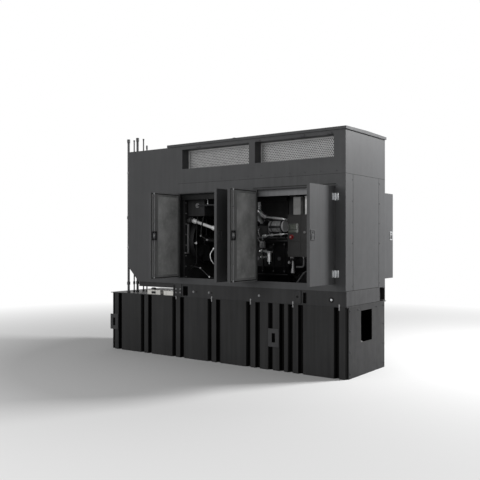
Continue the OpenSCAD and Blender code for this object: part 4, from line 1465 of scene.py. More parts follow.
@dataclass
class SkidBase:
    """The rails under the enclosure.

    Attributes:
        at: the main planes.
        bolt_x: places of the plain bolts along the rail.
        hole_x: places of the open holes beside them, drawn as rings of painted shade.
        ring_x: place of the large bolt in its dark ring.
        eye_x: place of the open dark ring beside the lifting eye.
        bolt: size of the plain bolt heads.
        bracket_l: length of the bracket at the rail's left end.
    """

    at: Levels
    bolt_x: tuple[float, ...] = (0.999, -0.102, -0.469)
    hole_x: tuple[float, ...] = (-0.044, -0.397)
    ring_x: float = 2.399
    eye_x: float = 1.788
    bolt: float = 0.028
    bracket_l: float = 0.19

    def dress(self) -> None:
        """Paints the skid's nodes."""
        dress_nodes(Palette.SKID, "skid_rails", "lifting_eyes", "skid_crossmembers", "hood_sill")
        dress_nodes(Palette.SKID_END, "skid_end_plate")

    def build(self) -> None:
        """Adds the bolts and the end bracket, front and rear."""
        face = -self.at.half_w
        level = (self.at.tank_z + self.at.encl_z) / 2 - 0.018
        add_bolts("rail_bolts", FORE, self.bolt, Palette.DULL_STEEL, Slot.LATCH,
                  [(x, face, level) for x in self.bolt_x], pair=True)
        add_bolts("rail_lock_bolts", FORE, 0.024, Palette.STEEL, Slot.LATCH,
                  [(self.ring_x, face - 0.004, level)], pair=True)
        dark = Shape()
        ring(dark, (self.ring_x, face + 0.002, level), FORE, 0.010, 0.046, 0.007, 32)
        ring(dark, (self.eye_x, face + 0.002, level), FORE, 0.014, 0.036, 0.006, 28)
        # Painted shade: a dark ring stands for each open hole.
        for x in self.hole_x:
            ring(dark, (x, face + 0.002, level), FORE, 0.010, 0.018, 0.005, 20)
        add_pair("rail_rings", dark, Palette.RUBBER, Slot.SKID)
        x0 = self.at.skid_x[0]
        plate = Shape()
        plate.box((x0 + 0.004, face - 0.010, self.at.tank_z + 0.004),
                  (x0 + self.bracket_l, face, self.at.encl_z - 0.004), 0.003)
        plate.box((x0 + 0.004, face - 0.03, self.at.tank_z),
                  (x0 + 0.016, face - 0.008, self.at.encl_z - 0.02), 0.002)
        add_pair("rail_end_brackets", plate, Palette.SKID, Slot.SKID)
        small = [(x0 + dx, face - 0.010, self.at.tank_z + dz)
                 for dx, dz in ((0.060, 0.134), (0.060, 0.069), (0.165, 0.138), (0.165, 0.073))]
        add_bolts("bracket_bolts", FORE, 0.020, Palette.DULL_STEEL, Slot.LATCH, small, pair=True)


@dataclass
class Enclosure:
    """Walls, vents, roof and discharge hood.

    Attributes:
        at: the main planes.
        hole_pitch: spacing of the holes in the vent screens.
        hole_r: radius of the holes.
        post: width of the post between two vents.
        sheet: thickness of the screens.
        folds: folds of the baffle behind the screens.
        clip_x: places of the clips under the roof.
        screw: size of the screw heads in the walls.
        screws: number of screws along the upper wall's joint.
        screw_x: place of the first of them along X.
        screw_step: their spacing.
        wires: number of wires along and across the hood's grille.
        wire_step: spacing of the wires.
    """

    at: Levels
    hole_pitch: float = 0.034
    hole_r: float = 0.0115
    post: float = 0.126
    sheet: float = 0.003
    folds: int = 9
    clip_x: tuple[float, ...] = (0.98, 1.87, 2.37, -0.35)
    screw: float = 0.014
    screws: int = 12
    screw_x: float = -0.70
    screw_step: float = 0.29
    wires: tuple[int, int] = (29, 20)
    wire_step: float = 0.0486

    def dress(self) -> None:
        """Paints the enclosure's nodes."""
        dress_nodes(Palette.WALL, "hood_side_walls", "door_posts", "door_sills", "upper_walls",
                    "right_end_corners", "right_end_panel", "right_end_upper", "left_end_wall",
                    "roof_cap")
        dress_nodes(Palette.LINED, "rear_closed_doors")
        dress_nodes(Palette.HEADER, "door_headers")
        dress_nodes(Palette.DARK_STEEL, "hood_grille")
        dress_nodes(Palette.STEEL, "hinge_plates", "rear_closed_latches")

    def build(self) -> None:
        """Adds screens, seams, drip rails, clips, screws and the hood's mesh."""
        self._screens()
        self._backs()
        self._trim()
        self._screws()
        self._rear_closed()
        self._hood_mesh()

    def _screens(self) -> None:
        """Builds the four perforated screens from one cell, a hexagon with a round hole."""
        low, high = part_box("vent_screens")
        width = (high.x - low.x - self.post) / 2
        pitch, rise = self.hole_pitch, self.hole_pitch * math.sqrt(3) / 2
        columns, rows = int(width / pitch) - 1, int((high.z - low.z) / rise) - 1
        span_x, span_z = (columns - 0.5) * pitch, (rows - 1) * rise
        meshes = []
        for x0 in (low.x, high.x - width):
            first = (x0 + (width - span_x) / 2, low.y, (low.z + high.z - span_z) / 2)
            meshes.append(Repeat.grid(self._cell(first), Palette.SCREEN, columns, rows,
                                      (pitch, 0, 0), (0, 0, rise), 0.5, 0.0004))
            border = Shape()
            border.frame_plate((x0, low.y - 0.002, low.z), (x0 + width, low.y + self.sheet, high.z),
                               (width - span_x) / 2 - pitch * 0.4, Axis.Y)
            meshes.append(border.mesh("screen_border"))
        front = join_meshes("vent_screens_front", meshes)
        rear = mirrored_y(front, "vent_screens_rear")
        add_piece("vent_screens_front", front, Palette.SCREEN, Slot.SCREEN,
                  stands_for=("vent_screens",))
        add_piece("vent_screens_rear", rear, Palette.SCREEN, Slot.SCREEN)

    def _cell(self, place: Point) -> Shape:
        """Draws one cell of a screen: both faces and the wall of its hole.

        Args:
            place: the cell's middle on the screen's outer face.

        Returns:
            The cell.
        """
        cell = Shape()
        outer_r = self.hole_pitch / math.sqrt(3)
        rings = []
        for y in (0.0, self.sheet):
            outer, inner = [], []
            for k in range(12):
                a = math.radians(30 * k + 30)
                reach = outer_r if k % 2 == 0 else self.hole_pitch / 2
                outer.append(cell.bm.verts.new((place[0] + reach * math.cos(a), place[1] + y,
                                                place[2] + reach * math.sin(a))))
                inner.append(cell.bm.verts.new((place[0] + self.hole_r * math.cos(a), place[1] + y,
                                                place[2] + self.hole_r * math.sin(a))))
            rings.append((outer, inner))
        (outer, inner), (back_outer, back_inner) = rings
        for k in range(12):
            j = (k + 1) % 12
            cell.bm.faces.new([outer[k], inner[k], inner[j], outer[j]])
            cell.bm.faces.new([back_outer[j], back_inner[j], back_inner[k], back_outer[k]])
            cell.bm.faces.new([inner[k], back_inner[k], back_inner[j], inner[j]])
        return cell

    def _backs(self) -> None:
        """Adds the sound baffles behind the screens, folded plates that stand back from them."""
        low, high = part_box("vent_screens")
        baffle = Shape()
        y0 = low.y + 0.060
        step = (high.x - low.x) / self.folds
        fold = ((0, 0), (step / 2, 0.05), (step, 0), (step, 0.012), (step / 2, 0.062), (0, 0.012))
        for k in range(self.folds):
            x = low.x + k * step
            baffle.prism(about(x, y0, fold), Axis.Z, low.z - 0.005, high.z + 0.005)
        baffle.box((low.x, y0 - 0.006, low.z - 0.03), (high.x, y0 + 0.07, low.z - 0.004), 0.002)
        baffle.box((low.x, y0 - 0.006, high.z + 0.004), (high.x, y0 + 0.07, high.z + 0.03), 0.002)
        for x in (low.x + 0.4, high.x - 0.4):
            baffle.box((x, low.y - 0.01, high.z + 0.01), (x + 0.05, y0, high.z + 0.028), 0.002)
            baffle.box((x, low.y - 0.01, low.z - 0.028), (x + 0.05, y0, low.z - 0.01), 0.002)
        add_pair("vent_baffles", baffle, Palette.BAFFLE, Slot.WALL)

    def _trim(self) -> None:
        """Adds the joint strips, the seams, the drip rails, the roof's clips and its lug."""
        face = -self.at.half_w
        strip, rail, clip = Shape(), Shape(), Shape()
        x0, x1 = self.at.doors[0][0] + 0.004, self.at.encl_x[1]
        drip = ((0, 0.012), (-0.016, 0.008), (-0.018, 0.022), (-0.014, 0.022), (-0.013, 0.013),
                (0, 0.018))
        strip.box((x0, face - 0.0008, self.at.seam_z - 0.002),
                  (x1, face + 0.004, self.at.seam_z + 0.002))
        for left, right in self.at.doors:
            z = self.at.door_z[1]
            rail.prism(about(face, z, drip), Axis.X, left - 0.03, right + 0.03)
            # Seal under the header; its dark tone also stands for the shade there.
            strip.box((left + 0.001, face + 0.001, z - 0.0012),
                      (right - 0.001, face + 0.036, z + 0.002))
        left, right = self.at.doors[1]
        strip.box((left - 0.03, face - 0.0012, z + 0.030), (right + 0.01, face + 0.004, z + 0.043))
        tee = ((-0.025, 0), (0.025, 0), (0.025, -0.003), (0.006, -0.003), (0.006, -0.010),
               (-0.006, -0.010), (-0.006, -0.003), (-0.025, -0.003))
        outline = about(mid(self.at.doors[0]), -face - 0.0505, tee)
        seal = Shape().prism(outline, Axis.Z, self.at.door_z[0] + 0.01, self.at.door_z[1] - 0.01)
        add_piece("rear_meeting_seal", seal, Palette.RUBBER, Slot.WALL)
        for x in self.clip_x:
            z = self.at.top_z - 0.045
            clip.box((x - 0.04, face - 0.012, z - 0.018), (x + 0.04, face, z + 0.018), 0.004)
            clip.rod((x - 0.045, face - 0.012, z), (x + 0.045, face - 0.012, z), 0.007)
        seams = Shape()
        for y in (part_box("right_end_panel")[0].y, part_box("right_end_panel")[1].y):
            seams.box((x1 - 0.004, y - 0.005, self.at.encl_z + 0.002),
                      (x1 + 0.001, y + 0.005, self.at.seam_z))
        seams.box((x1 - 0.004, face + 0.002, self.at.seam_z - 0.004),
                  (x1 + 0.001, -face - 0.002, self.at.seam_z + 0.004))
        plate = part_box("skid_end_plate")
        seams.box((x1 - 0.004, face + 0.002, plate[1].z),
                  (x1 + 0.001, plate[1].y, plate[1].z + 0.010))
        seams.box((plate[1].x - 0.004, face + 0.002, plate[0].z + 0.001),
                  (plate[1].x + 0.001, plate[1].y - 0.002, plate[0].z + 0.010))
        add_piece("end_wall_seams", seams, Palette.RUBBER, Slot.WALL)
        for name, shape, finish in (("joint_strips", strip, Palette.RUBBER),
                                    ("drip_rails", rail, Palette.WALL),
                                    ("roof_clips", clip, Palette.DARK_STEEL)):
            add_pair(name, shape, finish, Slot.WALL)
        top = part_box("roof_cap")[1].z
        lug = Shape()
        lug.prism([(0.395, top - 0.004), (0.465, top - 0.004), (0.452, top + 0.006),
                   (0.408, top + 0.006)], Axis.Y, -0.70, -0.66)
        add_piece("roof_lug", lug, Palette.WALL, Slot.WALL)

    def _screws(self) -> None:
        """Adds the screws along the end wall's seams and the upper wall's joint."""
        x = self.at.encl_x[1]
        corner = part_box("right_end_corners")
        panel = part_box("right_end_panel")
        heads = []
        for y in (panel[0].y - 0.022, panel[1].y + 0.022):
            heads += [(x, y, corner[0].z + 0.08 + k * 0.34) for k in range(6)]
        add_bolts("end_wall_screws", RIGHT, self.screw, Palette.WALL, Slot.WALL, heads)
        face = -self.at.half_w
        row = Repeat.grid(bolt_head(FORE, self.screw)(Shape()), Palette.WALL, self.screws, 1,
                          (self.screw_step, 0, 0), (0, 0, 0))
        row.transform(Matrix.Translation((self.screw_x, face, self.at.seam_z + 0.05)))
        add_pair("wall_joint_screws", row, Palette.WALL, Slot.WALL)

    def _rear_closed(self) -> None:
        """Adds the handles and the hinge covers of the three closed leaves on the rear."""
        (left, right), (second, _) = self.at.doors
        fit, wall = FITTINGS, self.at.half_w
        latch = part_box("front_door_1_left_latch")
        reach = abs(latch[0].y + latch[1].y) / 2 - wall - fit.pin_off
        (low, high), plate = self.at.door_z, wall + 0.008
        pan, grip, cover, bolts = Shape(), Shape(), Shape(), []
        for jamb, away in ((left, -1.0), (right, 1.0), (second, -1.0)):
            x = jamb - away * reach
            fit.draw_pan(pan, x, mid(self.at.door_z), (plate - 0.002, plate + 0.0015), 0.001)
            fit.draw_grip(grip, x, mid(self.at.door_z), (plate - 0.001, plate + 0.004),
                          plate + 0.002, BACK, 0.002)
            for z in (low + 0.111, high - 0.225):
                for near, far in (fit.wall_plate, (-0.013, -0.081)):
                    ends = sorted((jamb + away * near, jamb + away * far))
                    cover.box((ends[0], wall, z), (ends[1], wall + fit.plate_t, z + fit.plate_h),
                              0.003)
                ring(cover, (jamb, wall + fit.pin_off, z), UP, *fit.knuckle, fit.plate_h)
                bolts += fit.bolts(lambda dx: (jamb + away * dx, wall + fit.plate_t),
                                   (*fit.wall_bolt_x, -0.035, -0.063), z)
        add_piece("rear_handle_pans", pan, Palette.STEEL, Slot.LATCH)
        add_piece("rear_handle_grips", grip, Palette.DARK_STEEL, Slot.LATCH)
        add_piece("rear_hinge_covers", cover, Palette.STEEL, Slot.LATCH)
        add_bolts("rear_hinge_bolts", BACK, fit.bolt, Palette.STEEL, Slot.LATCH, bolts)

    def _hood_mesh(self) -> None:
        """Adds the coarse wire mesh that lies over the hood's grille bars."""
        low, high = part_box("hood_grille")
        wire, edge, (along, across) = 0.003, 0.02, self.wires
        y, z = low.y + edge, low.z + 0.036
        long_wire = Shape().rod((low.x, y, z), (high.x, y, z), wire, 0.1, 6)
        x, z = low.x + edge, low.z + 0.031
        cross_wire = Shape().rod((x, low.y, z), (x, high.y, z), wire, 0.1, 6)
        meshes = [Repeat.grid(long_wire, Palette.STEEL, 1, along, (0, 0, 0),
                              (0, self.wire_step, 0)),
                  Repeat.grid(cross_wire, Palette.STEEL, 1, across, (0, 0, 0),
                              (self.wire_step, 0, 0))]
        add_piece("hood_wire_mesh", join_meshes("hood_wire_mesh", meshes), Palette.STEEL,
                  Slot.SCREEN)


class Hand(Enum):
    """Which jamb of its doorway a leaf hangs on."""

    LEFT = 0
    RIGHT = 1


class Side(Enum):
    """The long side of the enclosure that a leaf closes."""

    FRONT = -1
    REAR = 1


@dataclass
class DoorLeaf:
    """One hinged leaf with its lining, latch, handle and hinges.

    The leaf is drawn closed, with x from its hinge line to its free edge, y from the hinge line
    inwards and z up, and is then turned open like the CAD leaf, which rests open.

    Attributes:
        name: the CAD body.
        hand: the jamb that it hangs on.
        side: the long side that it closes.
        jamb: the jamb's place along X.
        at: the main planes.
        hinge_off: distance of the hinge line in front of the outer face.
        thick: thickness of the leaf.
        rim: width of the plain rim round the lining.
        latch_rim: width of the plain rim on the latch side.
        sunk: depth of the lining's recess.
        washer_step: spacing of the washers that hold the lining.
        gap: gap between the leaf and the doorway.
        wall_t: thickness of the wall at the jamb.
        stop_deep: how far the stop reaches into the doorway, for a left and a right leaf.
        away: direction along X from the doorway to the wall beside it.
        span: the leaf's two edges, from the hinge line.
        z: the leaf's foot and top.
        latch_x: place of the latch, from the hinge line.
        latch_z: foot and top of the latch.
        inner: distance of the inner face from the hinge line.
    """

    name: str
    hand: Hand
    side: Side
    jamb: float
    at: Levels
    hinge_off: float = FITTINGS.pin_off
    thick: float = 0.050
    rim: float = 0.040
    latch_rim: float = 0.150
    sunk: float = 0.008
    washer_step: float = 0.21
    gap: float = 0.005
    wall_t: float = 0.040
    stop_deep: tuple[float, float] = (0.020, 0.066)
    away: float = field(init=False)
    span: tuple[float, float] = field(init=False)
    z: tuple[float, float] = field(init=False)
    latch_x: float = field(init=False)
    latch_z: tuple[float, float] = field(init=False)
    inner: float = field(init=False)

    def __post_init__(self) -> None:
        """Reads the leaf's own measures from its CAD nodes."""
        low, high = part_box(self.name)
        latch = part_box(self.name + "_latch")
        axis = self.at.half_w + self.hinge_off
        self.away = -1.0 if self.hand is Hand.LEFT else 1.0
        self.span = (self.gap, max(abs(low.y), abs(high.y)) - axis)
        self.z = (self.at.door_z[0] + self.gap, self.at.door_z[1] - self.gap)
        self.latch_x = abs(latch[0].y + latch[1].y) / 2 - axis
        self.latch_z = (latch[0].z, latch[1].z)
        self.inner = self.hinge_off + self.thick

    def dress(self) -> None:
        """Paints the leaf."""
        dress_nodes(Palette.LEAF, self.name)
        dress_nodes(Palette.STEEL, self.name + "_latch")

    def build(self) -> None:
        """Adds the lining, the seal, the latch, the handle and the hinge covers."""
        self._lining()
        self._seal()
        self._latch()
        self._handle()
        self._hinges()
        self._stop()

    def _world(self, mesh: bpy.types.Mesh) -> bpy.types.Mesh:
        """Turns a mesh from the closed leaf's own frame to its open place.

        Args:
            mesh: the mesh in the leaf's frame.

        Returns:
            The same mesh, turned, with its faces outwards.
        """
        out = float(self.side.value)
        turn = Matrix(((0, -self.away, 0, self.jamb),
                       (out, 0, 0, out * (self.at.half_w + self.hinge_off)), (0, 0, 1, 0),
                       (0, 0, 0, 1)))
        mesh.transform(turn)
        if turn.determinant() < 0:
            mesh.flip_normals()
        return mesh

    def _add(self, part: str, shape: "Shape | bpy.types.Mesh", finish: Finish, slot: Slot,
             stands_for: Sequence[str] = ()) -> None:
        """Adds a piece drawn in the leaf's frame."""
        mesh = shape.mesh(part) if isinstance(shape, Shape) else shape
        add_piece(f"{self.name}_{part}", self._world(mesh), finish, slot, self.name, stands_for)

    def _lining(self) -> None:
        """Adds the sound lining in the leaf's recess, with its washers and folded edge."""
        inner = self.inner
        x0, x1 = self.span[0] + self.rim + 0.003, self.span[1] - self.latch_rim - 0.003
        z0, z1 = self.z[0] + self.rim + 0.003, self.z[1] - self.rim - 0.003
        face = inner - 0.002
        self._add("lining", Shape().box((x0, inner - self.sunk, z0), (x1, face, z1), 0.002),
                  Palette.LINER, Slot.WALL)
        edge = Shape()
        edge.frame_plate((x0 - 0.002, face, z0 - 0.002), (x1 + 0.002, face + 0.0018, z1 + 0.002),
                         0.024, Axis.Y, 0.0006)
        self._add("lining_edge", edge, Palette.RIM, Slot.WALL)
        rim = Shape()
        rim.frame_plate((self.span[0] + 0.001, inner, self.z[0] + 0.001),
                        (x1 + 0.004, inner + 0.0008, self.z[1] - 0.001), self.rim, Axis.Y)
        rim.box((x1 + 0.004, inner, self.z[0] + 0.001),
                (self.span[1] - 0.001, inner + 0.0008, self.z[1] - 0.001))
        self._add("inner_rim", rim, Palette.RIM, Slot.WALL)
        columns = int((x1 - x0 - 0.1) / self.washer_step) + 1
        rows = int((z1 - z0 - 0.1) / self.washer_step) + 1
        step_x, step_z = (x1 - x0 - 0.12) / (columns - 1), (z1 - z0 - 0.12) / (rows - 1)
        washer = Shape().lathe((x0 + 0.06, face - 0.0005, z0 + 0.06), BACK,
                               [(0, 0.017), (0.0012, 0.017), (0.0022, 0.014), (0.0026, 0.005),
                                (0.0034, 0.004), (0.0034, 0.0)], 20)
        mesh = Repeat.grid(washer, Palette.LINER, columns, rows, (step_x, 0, 0), (0, 0, step_z))
        self._add("lining_washers", mesh, Palette.LINER, Slot.LATCH)

    def _seal(self) -> None:
        """Adds the rubber bead round the inner face."""
        inner = self.inner
        (x0, x1), (z0, z1), inset = self.span, self.z, 0.014
        bead = Shape()
        bead.frame_plate((x0 + inset, inner - 0.001, z0 + inset),
                         (x1 - inset, inner + 0.004, z1 - inset), 0.013, Axis.Y, 0.002)
        self._add("seal", bead, Palette.RUBBER, Slot.WALL)

    def _latch(self) -> None:
        """Builds the three point latch: cover strip, rods, rollers and the central paddle case."""
        inner = self.inner
        x, centre, (low_z, high_z) = self.latch_x, mid(self.z), self.latch_z
        steel, dark, bright, rods = Shape(), Shape(), Shape(), Shape()
        half, case = 0.040, (0.058, 0.080)
        lip, sheet, deep = half - 0.003, 0.002, 0.0095
        outline = about(x, inner,
                        ((-half, 0), (-half, deep), (-lip, deep), (-lip, sheet), (lip, sheet),
                         (lip, deep), (half, deep), (half, 0)))
        steel.prism(outline, Axis.Z, low_z + 0.034, centre - case[1] + 0.004)
        steel.prism(outline, Axis.Z, centre + case[1] - 0.004, high_z - 0.034)
        for sign, end in ((-1, low_z), (1, high_z)):
            tip = end - sign * 0.016
            rods.rod((x, inner + 0.009, centre + sign * 0.05), (x, inner + 0.009, tip), 0.006, 0.2,
                     16)
            for part in (0.25, 0.6, 0.93):
                z = centre + sign * 0.08 + (tip - centre - sign * 0.08) * part
                steel.box((x - 0.020, inner + 0.001, z - 0.011),
                          (x + 0.020, inner + 0.0165, z + 0.011), 0.003)
                for dx in (-0.027, 0.027):
                    steel.button((x + dx, inner + 0.002, z), BACK, 0.006, 0.004, 0.006, 0.003, 12)
            bright.lathe((x, inner - 0.001, tip), BACK,
                         [(0, 0.0155), (0.012, 0.0155), (0.016, 0.0125), (0.016, 0.005),
                          (0.019, 0.004), (0.019, 0.0)], 28)
        dark.box((x - case[0], inner - 0.001, centre - case[1]),
                 (x + case[0], inner + 0.008, centre + case[1]), 0.003)
        dark.frame_plate((x - case[0], inner + 0.004, centre - case[1]),
                         (x + case[0], inner + 0.018, centre + case[1]), 0.017, Axis.Y, 0.003)
        bright.box((x - 0.027, inner + 0.007, centre - 0.046),
                   (x + 0.027, inner + 0.013, centre + 0.046), 0.004)
        bright.lathe((x, inner + 0.012, centre), BACK,
                     [(0, 0.020), (0.003, 0.020), (0.005, 0.017), (0.005, 0.009), (0.007, 0.008),
                      (0.007, 0.0)], 28)
        self._add("latch_channels", steel, Palette.RIM, Slot.LATCH, (self.name + "_latch",))
        self._add("latch_case", dark, Palette.PLASTIC, Slot.LATCH)
        self._add("latch_rods", rods, Palette.DULL_STEEL, Slot.LATCH)
        self._add("latch_rollers", bright, Palette.STEEL, Slot.LATCH)

    def _handle(self) -> None:
        """Adds the paddle handle on the outer face, painted over on the front's right leaves."""
        x, z, out = self.latch_x, mid(self.z), self.hinge_off
        pan, grip = Shape(), Shape()
        FITTINGS.draw_pan(pan, x, z, (out - 0.0085, out), 0.003)
        pan.box((x - 0.046, out - 0.002, z - 0.070), (x + 0.046, out + 0.001, z + 0.070))
        FITTINGS.draw_grip(grip, x, z, (out - 0.0075, out - 0.001), out - 0.005, FORE, 0.003)
        plain = self.hand is Hand.RIGHT and self.side is Side.FRONT
        self._add("handle_pan", pan, Palette.LEAF if plain else Palette.STEEL, Slot.LATCH)
        self._add("handle_grip", grip, Palette.LEAF if plain else Palette.DARK_STEEL, Slot.LATCH)

    def _hinges(self) -> None:
        """Adds the bolted hinge leaves over the CAD hinge halves, on the door and on the wall."""
        fit, root, wall = FITTINGS, self.span[0], self.at.half_w
        away, out = self.away, float(self.side.value)
        cover, fixed, bolts, wall_bolts = Shape(), Shape(), [], []
        across = sorted(self.jamb + away * x for x in fit.wall_plate)
        through = sorted((out * wall, out * (wall + fit.plate_t)))
        skin = self.hinge_off - fit.plate_t
        for z in (self.z[0] + 0.106, self.z[1] - 0.220):
            top = z + fit.plate_h
            cover.box((root + 0.008, skin, z), (root + 0.076, self.hinge_off, top), 0.003)
            bolts += fit.bolts(lambda dx: (root + dx, skin), (0.030, 0.058), z)
            fixed.box((across[0], through[0], z), (across[1], through[1], top), 0.003)
            wall_bolts += fit.bolts(lambda dx: (self.jamb + away * dx, out * (wall + fit.plate_t)),
                                    fit.wall_bolt_x, z)
            ring(cover, (0, 0, z + 0.0525), UP, *fit.knuckle, 0.0605)
        self._add("hinge_covers", cover, Palette.STEEL, Slot.LATCH)
        self._add("hinge_bolts", Repeat.at(bolt_head(FORE, fit.bolt), Palette.STEEL, bolts),
                  Palette.STEEL, Slot.LATCH)
        add_piece(f"{self.name}_wall_hinges", fixed, Palette.STEEL, Slot.LATCH)
        add_bolts(f"{self.name}_wall_hinge_bolts", (0, out, 0), fit.bolt, Palette.STEEL, Slot.LATCH,
                  wall_bolts)

    def _stop(self) -> None:
        """Adds the folded stop behind the jamb, which closes the gap beside the open leaf."""
        deep = self.stop_deep[self.hand.value]
        back = self.at.half_w - self.wall_t
        fold = [(0.030, 0), (0.030, 0.003), (0.006, 0.003), (0.006, 0.024), (-deep, 0.024),
                (-deep, 0.020), (0.002, 0.020), (0.002, 0)]
        outline = [(self.jamb + self.away * x, self.side.value * (back - y)) for x, y in fold]
        stop = Shape().prism(outline, Axis.Z, self.at.door_z[0], self.at.door_z[1])
        add_piece(f"{self.name}_stop", stop, Palette.BAFFLE, Slot.WALL)


@dataclass
class Machinery:
    """Engine, radiator and alternator inside the enclosure.

    The runs of the pipes and hoses are corners in the frame's metres, read off the photograph.

    Attributes:
        at: the main planes.
        cylinders: number of cylinders.
        bore_step: distance from cylinder to cylinder.
        charge_y: place of the charge air pipe along Y.
        charge_z: level of its hose.
        fan_z: level of the fan's shaft.
        blades: blades of the fan.
        fins: places for cooling fins round the alternator.
    """

    at: Levels
    cylinders: int = 6
    bore_step: float = 0.225
    charge_y: float = -0.44
    charge_z: float = 2.574
    fan_z: float = 2.20
    blades: int = 8
    fins: int = 28

    def dress(self) -> None:
        """Gives the machinery's nodes their finishes."""
        dress_nodes(Palette.ENGINE, "engine_block", "oil_sump", "engine_head", "alternator")
        dress_nodes(Palette.POLISHED, "charge_air_pipe")
        dress_nodes(Palette.SATIN, "fuel_filter")
        dress_nodes(Palette.DARK_STEEL, "coolant_pipe")
        dress_nodes(Palette.AIR, "air_cleaner")
        dress_nodes(Palette.CORE, "radiator_core")
        dress_nodes(Palette.SKID, "radiator_frame", "header_tank")

    def build(self) -> None:
        """Adds the fine parts of the engine, the radiator and the alternator."""
        self._block_front()
        self._head()
        self._charge_pipe()
        self._left_pipes()
        self._right_pipes()
        self._air_cleaner()
        self._filter()
        self._radiator()
        self._fan()
        self._alternator()

    def _block_front(self) -> None:
        """Adds ribs, core plugs and cover bolts to the block's front and rear."""
        low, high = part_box("engine_block")
        face = low.y
        rib = ((-0.012, 0), (-0.008, -0.016), (0.008, -0.016), (0.012, 0))
        ribs, plugs, bolts = Shape(), [], []
        for k in range(self.cylinders + 1):
            x = low.x + 0.07 + k * self.bore_step
            ribs.prism(about(x, face, rib), Axis.Z, low.z + 0.05, high.z - 0.06)
            bolts += [(x, face - 0.016, high.z - 0.09), (x, face - 0.016, low.z + 0.08)]
        for k in range(self.cylinders):
            plugs.append((low.x + 0.07 + (k + 0.5) * self.bore_step, face, low.z + 0.30))
        ribs.box((low.x + 0.01, face - 0.020, high.z - 0.05), (high.x - 0.01, face, high.z - 0.004),
                 0.004)
        ribs.box((low.x + 0.01, face - 0.024, low.z + 0.01), (high.x - 0.01, face, low.z + 0.035),
                 0.004)
        add_pair("block_ribs", ribs, Palette.ENGINE, Slot.ENGINE)

        def plug(shape: Shape) -> Shape:
            """Draws one dished core plug."""
            return shape.lathe((0, 0, 0), FORE,
                               [(0, 0.034), (0.006, 0.034), (0.006, 0.028), (0.002, 0.024),
                                (0.002, 0)], 24)

        mesh = Repeat.at(plug, Palette.DARK_STEEL, plugs)
        add_pair("core_plugs", mesh, Palette.DARK_STEEL, Slot.BRIGHT)
        add_bolts("block_bolts", FORE, 0.022, Palette.DARK_STEEL, Slot.ENGINE, bolts, pair=True)

    def _head(self) -> None:
        """Adds the rocker cover bolts, the injector lines and the fuel rail on the head's front."""
        low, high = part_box("engine_head")
        lines, bolts = Shape(), []
        cover = high.z - 0.09
        for k in range(self.cylinders):
            x = low.x + 0.12 + k * self.bore_step
            lines.tube([(x, low.y, cover - 0.05), (x, low.y - 0.045, cover - 0.04),
                        (x + 0.02, low.y - 0.06, cover - 0.13),
                        (x + 0.05, low.y - 0.055, cover - 0.20)], 0.005, 10)
            lines.lathe((x, low.y, cover - 0.05), FORE,
                        [(0, 0.011), (0.014, 0.011), (0.017, 0.008)], 6)
            bolts += [(x - 0.06, 0.0, high.z), (x + 0.03, 0.0, high.z)]
        add_piece("injector_lines", lines, Palette.DULL_STEEL, Slot.BRIGHT)
        rail = Shape()
        rail.rod((low.x + 0.06, low.y - 0.055, cover - 0.215),
                 (high.x - 0.04, low.y - 0.055, cover - 0.215), 0.020, 0.2)
        for k in range(7):
            x = low.x + 0.10 + k * 0.22
            rail.lathe((x, low.y - 0.055, cover - 0.215), RIGHT, [(0, 0.027), (0.028, 0.027)], 24)
            rail.box((x, low.y - 0.055, cover - 0.23), (x + 0.028, low.y, cover - 0.20), 0.004)
        add_piece("fuel_rail", rail, Palette.DARK_STEEL, Slot.BRIGHT)
        add_bolts("rocker_cover_bolts", UP, 0.020, Palette.DULL_STEEL, Slot.BRIGHT, bolts)

    def _charge_pipe(self) -> None:
        """Adds the ribbed hose, the clamps, the reducer and the coupling of the charge air pipe."""
        y, z = self.charge_y, self.charge_z
        hose, clamps, sleeve = Shape(), Shape(), Shape()
        profile = [(0.0, 0.0375)]
        for k in range(7):
            profile += [(0.002 + k * 0.018, 0.0395), (0.008 + k * 0.018, 0.0425),
                        (0.014 + k * 0.018, 0.0395)]
        hose.lathe((-0.838, y, z), RIGHT, profile + [(0.127, 0.0375)], 36)
        for x in (-0.826, -0.794, -0.748):
            ring(clamps, (x, y, z), RIGHT, 0.041, 0.0455, 0.013, 36)
            clamps.box((x, y - 0.012, z + 0.043), (x + 0.013, y + 0.014, z + 0.056), 0.003)
        start, slope = (-0.74, y, z), (0.75, 0, 2.350 - z)
        sleeve.lathe(start, slope,
                     [(0.020, 0.030), (0.022, 0.045), (0.030, 0.047), (0.080, 0.046),
                      (0.105, 0.042), (0.140, 0.033), (0.155, 0.0305)], 36)
        sleeve.lathe(start, slope,
                     [(0.500, 0.030), (0.502, 0.039), (0.510, 0.041), (0.524, 0.041),
                      (0.528, 0.045), (0.548, 0.045), (0.552, 0.041), (0.566, 0.041),
                      (0.572, 0.038), (0.574, 0.030)], 36)
        add_piece("charge_air_hose", hose, Palette.RUBBER, Slot.CONTROL)
        add_piece("hose_clamps", clamps, Palette.DULL_STEEL, Slot.BRIGHT)
        add_piece("charge_pipe_sleeves", sleeve, Palette.POLISHED, Slot.BRIGHT)

